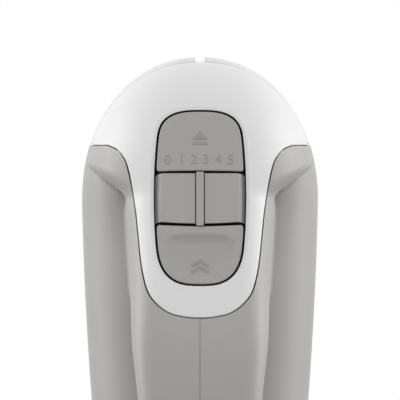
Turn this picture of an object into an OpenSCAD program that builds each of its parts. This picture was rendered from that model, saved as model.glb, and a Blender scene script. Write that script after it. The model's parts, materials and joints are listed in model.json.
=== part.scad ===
// Hand mixer standing on its heel: +Z to the nose, -Y to the handle, +Y to the beaters.
// Motor axis is the Z axis. Depths called v are measured from the underside.

/* [Casing] */
// Overall height standing on the heel
height = 198; // [186:1:210]
// Width at the widest part of the body
body_width = 86; // [84:0.5:96]
// Distance from the motor axis to the underside
underside = 34; // [33:0.5:38]
// Depth of the motor part, underside to top
motor_depth = 72; // [70:1:80]
// Depth of the handle top over the underside
handle_top = 131; // [127:1:136]
// Thickness of the handle bar
handle_bar = 32; // [28:1:34]
// Widest half width of the handle grip
grip_half = 20; // [18:0.5:23]
// Casing wall
wall = 2.4; // [2:0.1:2.8]
// Step of the nose band beyond the cover
band_step = 1.9; // [1:0.1:2.4]
// Width of the notch in the nose band
notch_w = 3.3; // [2:0.1:5]
// Radius of the rounded heel edge
heel_r = 5; // [3:0.5:7]
// Parting gap between casing pieces
part_gap = 0.12; // [0.08:0.02:0.2]

/* [Controls] */
// Half width of the control window
panel_half = 16.65; // [15.5:0.05:17.5]
// Gap around each control
button_gap = 0.55; // [0.4:0.05:0.7]
// Depth of the controls under the cover's face
button_drop = 0.4; // [0.2:0.1:0.8]
// Thickness of the button caps
cap_t = 2.2; // [1.8:0.1:2.8]
// Press of the eject button
eject_travel = 5; // [4:0.5:6]
// Press of the turbo button
turbo_travel = 2.5; // [2:0.25:3]
// Travel of the slider to each side
slide_travel = 11.2; // [9:0.1:11.2]
// Radius at which the slider band turns down at its ends
roll_r = 4; // [3.6:0.1:4.4]
// Thickness of the slider band
band_t = 1.2; // [0.8:0.1:1.4]
// Width of the slider's rib
rib_w = 3.5; // [2.5:0.1:4.5]
// Height of the slider's rib
rib_h = 1; // [0.8:0.1:2]

/* [Motor] */
// Shaft radius
shaft_r = 3; // [2.5:0.1:3.2]
// Radial clearance of the shaft in its bearings
shaft_fit = 0.03; // [0.02:0.01:0.08]
// Rotor core radius
rotor_r = 14; // [12:0.5:14.5]
// Air gap between rotor and stator
air_gap = 0.5; // [0.35:0.05:0.8]
// Length of the rotor and stator stacks
stack_l = 25; // [20:1:28]
// Stator width
stator_w = 50; // [46:1:54]
// Stator depth
stator_d = 44; // [40:1:46]
// Fan radius
fan_r = 22; // [18:0.5:23]

/* [Gears and beaters] */
// Distance of each spindle from the motor axis
gear_c = 19.5; // [19.1:0.1:20]
// Teeth on each worm wheel
teeth = 30; // [30:1:30]
// Starts of the worm
starts = 2; // [2:1:2]
// Axial tooth pitch over pi
module_mm = 1; // [1:0.01:1]
// Backlash cut from each flank
backlash = 0.16; // [0.12:0.01:0.2]
// Width of the worm wheels
wheel_w = 8; // [6:0.5:9]
// Outer radius of the spindles
spindle_r = 6; // [5.8:0.1:6.4]
// Radius of the beater shafts
beater_r = 4; // [3.6:0.1:4.1]
// Radial clearance of the beater shafts in the spindles
socket_fit = 0.08; // [0.05:0.01:0.1]
// Running clearance of the spindles
spindle_fit = 0.04; // [0.02:0.01:0.08]
// Beater cage radius
cage_r = 21.5; // [18:0.5:22]
// Beater cage length
cage_l = 88; // [80:1:96]
// Beater wire thickness
wire = 2; // [1.6:0.1:2.4]

/* [Hidden] */
$fn = 48;
seg = 36;
hw = body_width / 2;
zn = height - 52;
foot = 1.2;
gap = 0.35;
part_v = 55;
notch_l = 30;

white = [0.93, 0.93, 0.92];
grey = [0.66, 0.66, 0.65];
pale = [0.84, 0.84, 0.83];
key_grey = [0.58, 0.58, 0.57];
dark = [0.16, 0.16, 0.17];
steel = [0.72, 0.73, 0.75];
copper = [0.72, 0.4, 0.22];
brass = [0.78, 0.65, 0.36];
nylon = [0.9, 0.88, 0.8];

// ---- curves of the casing
function fall(t, p) = t <= 0 ? 1 : t >= 1 ? 0 : pow(1 - pow(t, p), 1 / p);
function step3(z, a, b) = let(u = min(1, max(0, (z - a) / (b - a)))) u * u * (3 - 2 * u);
function at(p, z, i = 0) = (i >= len(p) - 2 || z < p[i + 1][0]) ? i : at(p, z, i + 1);
function rise(p, i) = p[i][1] - p[i - 1][1];
function run(p, i) = p[i][0] - p[i - 1][0];
function slope(p, i) = i == 0 ? rise(p, 1) / run(p, 1)
  : i == len(p) - 1 ? rise(p, i) / run(p, i)
  : (p[i + 1][1] - p[i - 1][1]) / (p[i + 1][0] - p[i - 1][0]);
function ease(p, z) = let(i = at(p, z), d = run(p, i + 1), u = (z - p[i][0]) / d)
  (2 * u * u * u - 3 * u * u + 1) * p[i][1] + (u * u * u - 2 * u * u + u) * d * slope(p, i)
  + (3 * u * u - 2 * u * u * u) * p[i + 1][1] + (u * u * u - u * u) * d * slope(p, i + 1);
function heel_in(z) = z >= foot + heel_r ? 0 : heel_r - sqrt(heel_r * heel_r
  - pow(foot + heel_r - max(z, foot), 2));
function taper(z) = z > zn + 4 ? 0 : 2.2 * pow((zn + 4 - z) / 57, 1.6);
// body: half width, bottom and top depth
function body_w(z, d) = hw * fall((z - zn) / (height - d - zn), 2.1) - taper(z) - heel_in(z) - d;
function body_f(z, d) = fall((z - zn) / (height - d - zn), 2.4);
function body_lo(z, d) = 45 - (45 - d) * body_f(z, d) + heel_in(z);
function body_hi(z, d) = 45 + (motor_depth - 45 - d) * body_f(z, d) - heel_in(z);
// cover, pillar and handle
cov_z = height - band_step;
open_lo = 20;
open_hi = zn - 34;
open_r = 16;
bar_lo = handle_top - handle_bar;
tilt = 20.8;
top_pts = [[0, handle_top - 15], [4, handle_top - 10.5], [10, handle_top - 7], [20, handle_top - 3.8],
  [35, handle_top - 1.3], [55, handle_top], [75, handle_top - 0.4], [92, handle_top - 2.9],
  [zn - 42, handle_top - 6.1], [zn - 30, handle_top - 10.7], [zn - 20, handle_top - 14.5]];
grip_pts = [[0, grip_half - 0.5], [20, grip_half], [50, grip_half + 0.6], [75, grip_half + 2.4],
  [zn - 53, grip_half + 4.4], [zn - 36, grip_half + 5.1], [zn - 18, grip_half + 6.1],
  [zn, grip_half + 6.9], [zn + 20, grip_half + 7.2], [height, grip_half + 7.2]];
function plane(z) = handle_top - 34.6 + (zn + 33 - z) * tan(tilt);
function raw_top(z) = z < zn - 30 ? ease(top_pts, z) : plane(z);
function cov_f(z, d) = fall((z - zn - 14) / (cov_z - d - zn - 14), 2.4);
function cov_hi(z, d) = 50 + (raw_top(z) - 50 - d) * cov_f(z, d) - heel_in(z) * 0.8;
function wall_in(u) = u <= 0 ? 0 : u >= 1 ? 1 : 1 - sqrt(1 - u * u);
function cov_lo(z, d) = let(deep = 40 - 16 * step3(z, zn + 4, zn + 19))
  z > zn + 14 ? 50 - (50 - deep - d) * fall((z - zn - 19) / (cov_z - d - zn - 19), 2.2)
  : let(b = z > (open_lo + open_hi) / 2 ? wall_in((z - open_hi + open_r - d) / open_r)
    : wall_in((open_lo + open_r - d - z) / open_r)) (bar_lo + d) * (1 - b) + (deep + d) * b;
function cov_dome(z, d) = (hw - 0.9) * fall((z - zn) / (cov_z - d - zn), 2.1);
function cov_w(z, d) = let(g = step3(z, zn + 0.5, zn + 14))
  ease(grip_pts, z) * (1 - g) + cov_dome(z, d) * g - heel_in(z) - d;
function cov_n(z) = 4.4 - 1.9 * step3(z, zn - 4, zn + 15);
function spow(v, p) = v < 0 ? -pow(-v, p) : pow(v, p);
function ring(w, lo, hi, n, z, k) = let(c = (lo + hi) / 2, h = (hi - lo) / 2)
  [for (i = [0:k - 1]) let(a = 360 * i / k)
    [max(w, 0.3) * spow(cos(a), 2 / n), underside - c + max(h, 0.3) * spow(sin(a), 2 / n), z]];
module loft(rings) {
  k = len(rings[0]);
  m = len(rings);
  pts = [for (r = rings) for (p = r) p];
  sides = [for (j = [0:m - 2]) for (i = [0:k - 1]) let(a = j * k + i, b = j * k + (i + 1) % k)
    each [[a, a + k, b], [b, a + k, b + k]]];
  polyhedron(pts, concat([[for (i = [0:k - 1]) i]], sides,
    [[for (i = [0:k - 1]) (m - 1) * k + k - 1 - i]]));
}
body_z = [foot, foot + 0.8, foot + 2.2, foot + 5, 22, 48, 75, 100, zn - 24, zn - 8, zn + 3, zn + 13,
  zn + 21, zn + 28, zn + 34, zn + 39, zn + 43, zn + 46.5, zn + 49, zn + 50.6, zn + 51.6];
cov_zs = [foot, foot + 0.8, foot + 2.2, foot + 5, 13, 19.9, 20.5, 22, 24.5, 28, 32, 36, 48, 62, 78,
  open_hi - 16, open_hi - 12, open_hi - 8, open_hi - 4.5, open_hi - 2, open_hi - 0.6, open_hi + 0.1,
  zn - 24, zn - 14, zn - 5, zn + 0.5, zn + 3, zn + 5.5, zn + 8.5, zn + 11.5, zn + 14, zn + 19, zn + 24,
  zn + 29, zn + 34, zn + 38, zn + 42, zn + 45, zn + 47.4, zn + 49, zn + 49.8];
in_zs = [foot, 9, 17.5, 18.2, 19.6, 22.5, 27, 33.7, 62, open_hi - 14, open_hi - 9, open_hi - 4.5,
  open_hi - 1.5, open_hi + 0.6, open_hi + 2.5, zn - 20, zn - 5, zn + 1, zn + 5, zn + 9, zn + 14, zn + 22,
  zn + 30, zn + 37, zn + 42, zn + 45.5];
module body_out(d = 0) {
  loft([for (z = body_z) if (z < height - d - 0.2)
    ring(body_w(z, d), body_lo(z, d), body_hi(z, d), 2.6, z, seg)]);
}
module cov_out(d = 0, zs = cov_zs, k = seg) {
  loft([for (z = zs) if (z < cov_z - d - 0.1)
    ring(cov_w(z, d), cov_lo(z, d), cov_hi(z, d), cov_n(z), z, k)]);
}
module cavity() {
  intersection() {
    union() {
      loft([for (z = body_z) if (z < height - wall - 1)
        ring(body_w(z, wall), body_lo(z, wall), body_hi(z, wall), 2.6, z, 24)]);
      cov_out(wall, in_zs, 24);
    }
    translate([-60, -120, foot + 1.6]) cube([120, 200, height]);
  }
}

// ---- the white cover's outline seen from the front
half_line = [[0, -42.2], [5, -41.9], [10.5, -40.6], [14.6, -38], [18.1, -34], [19.9, -29],
  [21.2, -22], [22.2, -12.3], [23, -4.6], [24.4, 4.4], [25.7, 10.7], [27.2, 15], [30, 18.4], [33.5, 20],
  [60, 20.5], [60, 80]];
wk = body_width / 86;
// everything deeper than part_v belongs to the nose band or the housings
module front(h = 160) {
  translate([0, underside - part_v, 0]) rotate([90, 0, 0]) linear_extrude(h) children();
}
module cover_shape() {
  polygon(concat([for (p = half_line) [p[0] * wk, zn + p[1]]],
    [for (i = [len(half_line) - 1:-1:1]) [-half_line[i][0] * wk, zn + half_line[i][1]]]));
}
// ---- frame of the sloping control panel: x across, y up the slope, z out of it
pz = zn + 1;
py = underside - plane(pz);
module on_panel() {
  translate([0, py, pz]) rotate([90 - tilt, 0, 0]) children();
}
// the cover's part of the shell: its outline, no deeper than its edge
module cover_zone(g) {
  intersection() {
    front() offset(delta = g) cover_shape();
    union() {
      translate([-60, -200, zn + 17.9]) cube([120, 300, 80]);
      on_panel() translate([-60, -70, -8 - g]) cube([120, 90, 80]);
    }
  }
}
cut_hi = 9.95;
cut_lo = -10.4;
pan_hi = 35.4;
pan_lo = -33.9;
top_bow = 17.1;
low_bow = 23.5;
// window: straight sides between two half ovals
module panel2d(g = 0) {
  offset(delta = -g) polygon(concat(
    [for (i = [0:14]) let(a = 180 * i / 14)
      [panel_half * spow(cos(a), 0.667), pan_hi - top_bow + top_bow * spow(sin(a), 0.667)]],
    [for (i = [0:14]) let(a = 180 + 180 * i / 14)
      [panel_half * spow(cos(a), 0.667), pan_lo + low_bow + low_bow * spow(sin(a), 0.667)]]));
}
module panel_prism(g, lo, hi, deep) {
  on_panel() translate([0, 0, -deep]) linear_extrude(deep + 14) intersection() {
    panel2d(g);
    translate([-30, lo]) square([60, hi - lo]);
  }
}
// the slider's lower edge bows down between the window's sides
bow_r = 154;
module bow(extra) {
  on_panel() translate([0, cut_lo + bow_r, -30]) cylinder(h = 60, r = bow_r + extra, $fn = 180);
}

screw_at = [[underside - 14, 13], [underside - 13, zn + 9], [underside - 84, 12],
  [underside - 84, zn - 30]];
module bosses(grow = 0) {
  for (p = screw_at) translate([-60, p[0], p[1]]) rotate([0, 90, 0]) cylinder(h = 120, r = 3.4 + grow);
}
module screw_holes() {
  for (p = screw_at) translate([0, p[0], p[1]]) rotate([0, 90, 0]) {
    translate([0, 0, -9]) cylinder(h = 70, r = 1.75, $fn = 20);
    translate([0, 0, 8.2]) cylinder(h = 70, r = 3, $fn = 24);
  }
}
vent_z = [for (i = [0:5]) 26 + 5 * i];
module vents() {
  for (z = vent_z) translate([0, underside - 34, z]) rotate([0, 90, 0])
    linear_extrude(120, center = true) hull() {
      translate([0, -9]) circle(r = 1.3, $fn = 14);
      translate([0, 9]) circle(r = 1.3, $fn = 14);
    }
  for (i = [-3:3]) translate([i * 6, 0, fan_z + 4]) rotate([-90, 0, 0]) linear_extrude(80) hull() {
    translate([0, -5]) circle(r = 1.3, $fn = 14);
    translate([0, 5]) circle(r = 1.3, $fn = 14);
  }
}
gear_z = zn - 8;
stack_z = gear_z - 78;
fan_z = gear_z - 43;
inlet_z = 24;
module housing(s) {
  resize([0, 0, 0]) difference() {
    union() {
      difference() {
        union() {
          body_out();
          cov_out();
        }
        cavity();
      }
      intersection() {
        union() {
          bosses();
          for (x = [-1, 1]) {
            translate([x * 10.8 - 2.8, underside - 14.98, inlet_z - 3.8]) cube([5.6, 20, 7.6]);
            on_panel() translate([x * 37 - 23, -20, -44.5]) cube([46, 28, 2.55]);
          }
          for (z = [4, 18]) translate([-60, underside - 45, stack_z + z]) cube([120, 26, 2]);
        }
        inner_side();
        difference() {
          translate([-60, -150, 0]) cube([120, 200, height]);
          translate([-stator_w / 2 - gap, -stator_d / 2 - 20, stack_z - 10])
            cube([stator_w + 2 * gap, stator_d + 40, 60]);
        }
      }
    }
    translate([s > 0 ? -100 + part_gap / 2 : -part_gap / 2, -160, -1]) cube([100, 260, 260]);
    cover_zone(part_gap);
    translate([-60, underside - part_v - part_gap, zn + 20.5 - part_gap]) cube([120, 90, 60]);
    screw_holes();
    for (x = [-10.8, 10.8]) translate([x, underside - 16, inlet_z]) rotate([-90, 0, 0])
      cylinder(h = 11, r = 1.54, $fn = 20);
    vents();
    for (x = [-gear_c, gear_c]) translate([x, 0, gear_z]) rotate([-90, 0, 0])
      cylinder(h = 60, r = 11.6 + gap);
    translate([0, 0, inlet_z]) rotate([-90, 0, 0]) cylinder(h = 60, r = 6.1, $fn = 32);
    pads(0.1);
  }
}
module inner_side() {
  body_out(0.8);
  cov_out(0.8);
}

module top_cover() {
  color(white) resize([0, 0, 0]) difference() {
    union() {
      intersection() {
        difference() {
          cov_out();
          cov_out(wall, in_zs, 24);
        }
        cover_zone(0);
      }
      intersection() {
        cov_out(0.4);
        on_panel() translate([0, 0, -7.2]) linear_extrude(20) difference() {
          panel2d(-1.3);
          panel2d(0);
        }
      }
    }
    panel_prism(0, -60, 60, 30);
    on_panel() translate([-roll_x - roll_r - gap, cut_lo - 1.4, -60])
      cube([2 * (roll_x + roll_r + gap), cut_hi - cut_lo + 1.8, 60 - wall]);
    translate([-60, underside - part_v, -1]) cube([120, 200, 300]);
  }
}

module nose_band() {
  color(pale) resize([0, 0, 0]) difference() {
    body_out();
    loft([for (z = body_z) if (z < height - wall - 1)
      ring(body_w(z, wall), body_lo(z, wall), body_hi(z, wall), 2.6, z, 24)]);
    translate([-60, underside - part_v - 60, -1]) cube([120, 60 + part_gap, 260]);
    translate([-60, -160, -1]) cube([120, 260, zn + 20.5 + 1 + part_gap]);
    translate([-notch_w / 2, underside - part_v - 1, cov_z]) cube([notch_w, notch_l, 20]);
    screw_holes();
  }
}

module housing_left() {
  color(grey) housing(-1);
}

module housing_right() {
  color(grey) housing(1);
}

module pads(g = 0) {
  for (y = [underside - 38, underside - 94]) translate([0, y, 0]) linear_extrude(2.2 + g) offset(delta = g) {
    hull() for (x = [-14, 14], w = [-6, 6])
      translate([x * (y < -40 ? 0.55 : 1), w * (y < -40 ? 0.7 : 1)]) circle(r = 4, $fn = 28);
  }
}

module heel_pads() {
  color(dark) for (i = [0, 1]) {
    w = i == 0 ? 36 : 23.4;
    d = i == 0 ? 20 : 16.4;
    y = i == 0 ? underside - 38 : underside - 94;
    translate([-w / 2, y - d / 2 + 4, 0]) cube([w, d - 8, 2.2]);
    translate([-w / 2 + 4, y - d / 2, 0]) cube([w - 8, d, 2.2]);
    for (a = [-1, 1], b = [-1, 1]) translate([a * (w / 2 - 4), y + b * (d / 2 - 4), 0]) cylinder(h = 2.2, r = 4);
  }
}

module screw(l, r, hr, hh) {
  difference() {
    union() {
      cylinder(h = l, r = r, $fn = 24);
      translate([0, 0, l]) cylinder(h = hh, r1 = hr, r2 = hr * 0.8, $fn = 24);
    }
    for (a = [0, 90]) rotate([0, 0, a]) translate([-hr * 0.6, -0.35, l + hh - 0.9]) cube([hr * 1.2, 0.7, 1]);
  }
}

module housing_screws() {
  color(steel) for (p = screw_at) translate([-7, p[0], p[1]]) rotate([0, 90, 0]) screw(15.2, 1.7, 2.8, 2);
}

module cord_inlet() {
  color(dark) translate([0, underside - wall - 6, inlet_z]) rotate([-90, 0, 0]) difference() {
    union() {
      cylinder(h = 16, r1 = 6, r2 = 6);
      translate([0, 0, 2]) cylinder(h = 3.4, r = 7.6);
      translate([0, 0, 16]) cylinder(h = 12, r1 = 6, r2 = 4.8);
    }
    translate([0, 0, -1]) cylinder(h = 40, r = 3.5);
    for (i = [0:2]) translate([-8, 3.9, 17.5 + 3.4 * i]) cube([16, 4, 1.4]);
    for (i = [0:2]) translate([-8, -7.9, 17.5 + 3.4 * i]) cube([16, 4, 1.4]);
  }
}

module cord_clamp() {
  color(nylon) translate([-14, underside - 21, inlet_z - 4]) difference() {
    cube([28, 6, 8]);
    translate([14, -1, 4]) rotate([-90, 0, 0]) cylinder(h = 8, r = 3.4);
    for (x = [3.2, 24.8]) translate([x, -1, 4]) rotate([-90, 0, 0]) cylinder(h = 8, r = 1.6, $fn = 24);
  }
}

module clamp_screws() {
  color(steel) for (x = [-10.8, 10.8]) translate([x, underside - 8, inlet_z]) rotate([90, 0, 0])
    screw(13, 1.5, 2.6, 1.6);
}

// ---- controls
module key_cap(g, lo, hi) {
  resize([0, 0, 0]) intersection() {
    difference() {
      cov_out(button_drop);
      cov_out(button_drop + cap_t);
    }
    panel_prism(g, lo, hi, 14);
  }
}

module eject_button() {
  color(key_grey) {
    key_cap(button_gap, cut_hi + button_gap / 2, 60);
    on_panel() translate([0, 22, -14.5]) cylinder(h = 13, r = 3.2);
    on_panel() translate([-9, 20.8, -8.5]) cube([18, 2.4, 6.6]);
  }
}

module turbo_button() {
  color(key_grey) {
    difference() {
      key_cap(button_gap, -60, cut_lo + 2);
      bow(button_gap / 2);
    }
    on_panel() translate([0, -22, -9]) cylinder(h = 7.6, r = 3);
    on_panel() translate([-9, -23.2, -6]) cube([18, 2.4, 4.2]);
  }
}

// the slider: a rib on a flexible band, carried by a block on a cross rail
band_hi = cut_hi - button_gap / 2;
roll_x = slide_travel + rib_w / 2;
band_leg = 15;
rail_n = 29.5;
rail_r = 2;
rail_stop = -34.7;
// band outline across the panel, outer side at k = 0 and inner side at k = band_t
function band_side(k) = concat([for (i = [0:8]) let(a = 90 - 90 * i / 8)
  [roll_x + (roll_r - k) * cos(a), -button_drop - roll_r + (roll_r - k) * sin(a)]],
  [[roll_x + roll_r - k, -band_leg]]);
function backwards(p) = [for (i = [len(p) - 1:-1:0]) p[i]];
function turned(p) = [for (q = backwards(p)) [-q[0], q[1]]];
module speed_slider() {
  color(key_grey) intersection() {
    on_panel() translate([-rib_w / 2, cut_lo - 0.9, -button_drop + 0.04]) cube([rib_w, cut_hi - cut_lo + 1, rib_h]);
    bow(0.35);
  }
}

module slider_band() {
  color(key_grey) intersection() {
    on_panel() translate([0, band_hi, 0]) rotate([90, 0, 0]) linear_extrude(band_hi - cut_lo + 4)
      polygon(concat(turned(band_side(0)), band_side(0), backwards(band_side(band_t)),
        backwards(turned(band_side(band_t)))));
    bow(-button_gap / 2);
  }
}

module slider_carrier() {
  color(dark) on_panel() translate([0, 0, -rail_n]) difference() {
    union() {
      translate([-2.2, -4.5, -3]) cube([4.4, 9, rail_n + 3 - button_drop - band_t - gap]);
      translate([-5.5, -4.5, -4.5]) cube([11, 9, 9]);
      translate([-2, -2, rail_stop + rail_n]) cube([4, 4, -rail_stop - rail_n]);
    }
    translate([-6, 0, 0]) rotate([0, 90, 0]) cylinder(h = 12, r = rail_r + 0.04);
  }
}

module slider_rail() {
  color(steel) on_panel() translate([-rail_half, 0, -rail_n]) rotate([0, 90, 0])
    cylinder(h = 2 * rail_half, r = rail_r);
}
// inner half width of the pillar at the rail
rail_z = pz - rail_n * sin(tilt);
rail_v = underside - py - rail_n * cos(tilt);
function across(z, v, d) = let(c = (cov_lo(z, d) + cov_hi(z, d)) / 2, h = cov_hi(z, d) - c, n = cov_n(z))
  cov_w(z, d) * pow(1 - pow(abs(v + rail_r - c) / h, n), 1 / n);
rail_half = across(rail_z, rail_v, wall) - 0.45;

// helical spring, axis along Z
module coil(r, t, h, turns) {
  k = 10;
  m = floor(turns * k);
  pts = [for (i = [0:m]) let(a = 360 * i / k) for (j = [0:4])
    [(r + t * cos(72 * j)) * cos(a), (r + t * cos(72 * j)) * sin(a), t + (h - 2 * t) * i / m + t * sin(72 * j)]];
  polyhedron(pts, concat([[for (j = [4:-1:0]) j]],
    [for (i = [0:m - 1]) for (j = [0:4]) let(a = i * 5 + j, b = i * 5 + (j + 1) % 5)
      each [[a, b, a + 5], [b, b + 5, a + 5]]], [[for (j = [0:4]) m * 5 + j]]));
}

yoke_y = -27;
module eject_yoke() {
  color(nylon) {
    difference() {
      translate([-26, yoke_y - 2, gear_z - 7]) cube([52, 2.4, 14]);
      for (x = [-9.5, 9.5]) translate([x, yoke_y - 3, gear_z]) rotate([-90, 0, 0]) cylinder(h = 8, r = 1.9, $fn = 24);
    }
    translate([-4, yoke_y - 2, gear_z + 6]) cube([8, 2.4, 22]);
    translate([-4, eject_foot + 0.4, gear_z + 19]) cube([8, yoke_y - eject_foot - 0.4, 9]);
  }
}
// lowest point of the eject stem
eject_foot = py + 22 * sin(tilt) + 14.5 * cos(tilt) + 3.2 * sin(tilt);
module eject_springs() {
  color(steel) for (x = [-9.5, 9.5]) translate([x, yoke_y + 0.5, gear_z]) rotate([-90, 0, 0])
    coil(2.9, 0.4, -gear_top - 2.65 - yoke_y - 0.5, 4.5);
}

module turbo_spring() {
  color(steel) on_panel() translate([0, -22, -14.2]) coil(4.4, 0.4, 8.1, 4);
}

module turbo_switch() {
  color(dark) {
    on_panel() translate([-8, -28.5, -21]) cube([16, 13, 6.6]);
    on_panel() translate([0, -22, -14.5]) cylinder(h = 2.7, r = 1.6, $fn = 24);
  }
}

module speed_switch() {
  color(nylon) on_panel() translate([-10, -14, -40]) difference() {
    cube([20, 24, 5]);
    translate([4, 4, 3]) cube([12, 16, 3]);
  }
}

module control_board() {
  color([0.2, 0.42, 0.26]) on_panel() translate([-16, -22, -41.9]) difference() {
    cube([32, 34, 1.6]);
    for (x = [3, 29], y = [3, 31]) translate([x, y, -1]) cylinder(h = 4, r = 1.6, $fn = 24);
  }
}

module capacitor() {
  color([0.75, 0.6, 0.2]) translate([-9, underside - 60, foot + 1.62]) cube([18, 9, 12]);
}

module terminal_block() {
  color(nylon) translate([-12, underside - 46, foot + 1.62]) difference() {
    cube([24, 10, 10]);
    for (x = [4, 12, 20]) translate([x, 5, 4]) cylinder(h = 8, r = 2, $fn = 24);
  }
}

// ---- motor
pitch = PI * module_mm;
wheel_r = teeth * module_mm / 2;
worm_r = gear_c - wheel_r;
lead = starts * pitch;
worm_l = 27;
shaft_lo = stack_z - 37;
shaft_hi = gear_z + 24;
module motor_shaft() {
  color(steel) {
    translate([0, 0, shaft_lo]) cylinder(h = gear_z - worm_l / 2 - shaft_lo, r = shaft_r);
    translate([0, 0, gear_z + worm_l / 2]) cylinder(h = shaft_hi - gear_z - worm_l / 2, r = shaft_r);
    worm();
  }
}
// worm: transverse section swept by its lead
function worm_rad(u) = let(s = abs(u) * pitch, half_tip = pitch / 4 - 0.36 * module_mm - backlash,
  half_root = pitch / 4 + 0.4 * module_mm - backlash)
  s < half_tip ? worm_r + 0.9 * module_mm : s > half_root ? worm_r - 1.15 * module_mm
  : worm_r + 0.9 * module_mm - 2.05 * module_mm * (s - half_tip) / (half_root - half_tip);
module worm() {
  tip = (pitch / 4 - 0.36 * module_mm - backlash) / pitch;
  root = (pitch / 4 + 0.4 * module_mm - backlash) / pitch;
  us = [0, tip, (tip + root) / 2, root, 0.5];
  prof = [for (s = [0:starts - 1]) for (u = concat([for (i = [3:-1:1]) -us[i]], us))
    let(a = 360 * (s + u) / starts, r = worm_rad(u)) [r * cos(a), r * sin(a)]];
  translate([0, 0, gear_z - worm_l / 2]) rotate([0, 0, -360 * worm_l / 2 / lead])
    linear_extrude(worm_l, twist = -360 * worm_l / lead, slices = 66, $fn = 4) polygon(prof);
}

module rotor_core() {
  color(steel) translate([0, 0, stack_z]) difference() {
    cylinder(h = stack_l, r = rotor_r);
    translate([0, 0, -1]) cylinder(h = stack_l + 2, r = shaft_r);
    for (i = [0:11]) rotate([0, 0, 30 * i]) {
      translate([rotor_r - 4.6, 0, -1]) cylinder(h = stack_l + 2, r = 2, $fn = 20);
      translate([rotor_r - 4.6, -0.8, -1]) cube([6, 1.6, stack_l + 2]);
    }
  }
}

module rotor_windings() {
  color(copper) translate([0, 0, stack_z]) {
    for (i = [0:11]) rotate([0, 0, 30 * i]) translate([rotor_r - 4.6, 0, 0]) cylinder(h = stack_l, r = 1.8, $fn = 16);
    for (z = [-7, stack_l]) translate([0, 0, z]) rotate_extrude() translate([shaft_r + 1.2, 0])
      polygon([[0, 0], [rotor_r - shaft_r - 2, 0], [rotor_r - shaft_r - 2, 4], [rotor_r - shaft_r - 5, 7], [0, 7]]);
  }
}

com_z = stack_z - 22;
module commutator() {
  color(copper) translate([0, 0, com_z]) difference() {
    union() {
      cylinder(h = 11, r = 8);
      translate([0, 0, 11]) cylinder(h = 3, r = 9.4);
    }
    translate([0, 0, -1]) cylinder(h = 16, r = shaft_r);
    for (i = [0:23]) rotate([0, 0, 15 * i]) translate([7, -0.2, -1]) cube([4, 0.4, 16]);
  }
}

module fan() {
  color(dark) translate([0, 0, fan_z]) difference() {
    union() {
      cylinder(h = 9, r = 6.5);
      cylinder(h = 1.4, r = fan_r);
      for (i = [0:10]) rotate([0, 0, 360 / 11 * i]) translate([5.5, -0.6, 0]) rotate([0, 0, 12]) cube([fan_r - 6.6, 1.2, 8]);
    }
    translate([0, 0, -1]) cylinder(h = 12, r = shaft_r);
  }
}

module sleeve(h, r0, r1) {
  difference() {
    cylinder(h = h, r = r1);
    translate([0, 0, -1]) cylinder(h = h + 2, r = r0);
  }
}
rb_z = com_z - 10;
module rear_bearing() {
  color(brass) translate([0, 0, rb_z]) sleeve(7, shaft_r + shaft_fit, 7);
}

fb_z = fan_z + 13;
module front_bearing() {
  color(brass) translate([0, 0, fb_z]) sleeve(7, shaft_r + shaft_fit, 7);
}

module thrust_ball() {
  color(steel) translate([0, 0, shaft_hi + 2]) sphere(r = 2);
}

module thrust_plate() {
  color(steel) translate([0, 0, shaft_hi + 4]) cylinder(h = 1.2, r = 5);
}

module stator_core() {
  color(steel) translate([0, 0, stack_z]) difference() {
    translate([-stator_w / 2, -stator_d / 2, 0]) cube([stator_w, stator_d, stack_l]);
    translate([0, 0, -1]) cylinder(h = stack_l + 2, r = rotor_r + air_gap);
    for (s = [-1, 1]) translate([s * (stator_w / 2 - 8) - 3, -13, -1]) cube([6, 26, stack_l + 2]);
    for (a = [-1, 1], b = [-1, 1]) translate([a * (stator_w / 2 - 3.5), b * (stator_d / 2 - 3.5), -1])
      cylinder(h = stack_l + 2, r = 1.8, $fn = 24);
    for (s = [-1, 1]) translate([-4, s * (rotor_r + 1) - 1.5, -1]) cube([8, 3, stack_l + 2]);
  }
}

module field_coils() {
  color(copper) for (s = [-1, 1]) {
    translate([s * (stator_w / 2 - 8) - 2.8, -12.8, stack_z - 6]) cube([5.6, 25.6, stack_l + 12]);
    translate([s * (stator_w / 2 - 8) - 2.8, -15, stack_z - 6]) cube([5.6, 30, 5.9]);
    translate([s * (stator_w / 2 - 8) - 2.8, -15, stack_z + stack_l + 0.1]) cube([5.6, 30, 5.9]);
  }
}

module rear_bracket() {
  color(nylon) difference() {
    union() {
      translate([-stator_w / 2, -6, rb_z]) cube([stator_w, 12, 3]);
      for (s = [-1, 1], b = [-1, 1]) {
        translate([s * (stator_w / 2 - 3.5), b * (stator_d / 2 - 3.5), rb_z]) cylinder(h = stack_z - rb_z, r = 3.2);
        translate([s * (stator_w / 2 - 3.5) - 3, b > 0 ? 3 : -stator_d / 2 + 3.5, rb_z]) cube([6, stator_d / 2 - 6.5, 3]);
      }
      translate([0, 0, rb_z]) cylinder(h = 7, r = 9);
      for (s = [-1, 1]) translate([s > 0 ? 11 : -22, -6, rb_z]) cube([11, 12, com_z - rb_z - 0.6]);
    }
    translate([0, 0, rb_z - 1]) cylinder(h = 9, r = 7);
    for (s = [-1, 1], b = [-1, 1]) translate([s * (stator_w / 2 - 3.5), b * (stator_d / 2 - 3.5), rb_z - 1])
      cylinder(h = 60, r = 1.8, $fn = 24);
  }
}

brush_z = com_z + 5.5;
module brush_holders() {
  color(brass) for (s = [-1, 1]) mirror([s < 0 ? 1 : 0, 0, 0]) translate([9.4, -4.2, brush_z - 4.2]) difference() {
    cube([15, 8.4, 8.4]);
    translate([-1, 1.2, 1.2]) cube([14.6, 6, 6]);
  }
}

module brushes() {
  color(dark) for (s = [-1, 1]) mirror([s < 0 ? 1 : 0, 0, 0]) translate([8.3, -2.95, brush_z - 2.95]) cube([7.5, 5.9, 5.9]);
}

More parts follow.
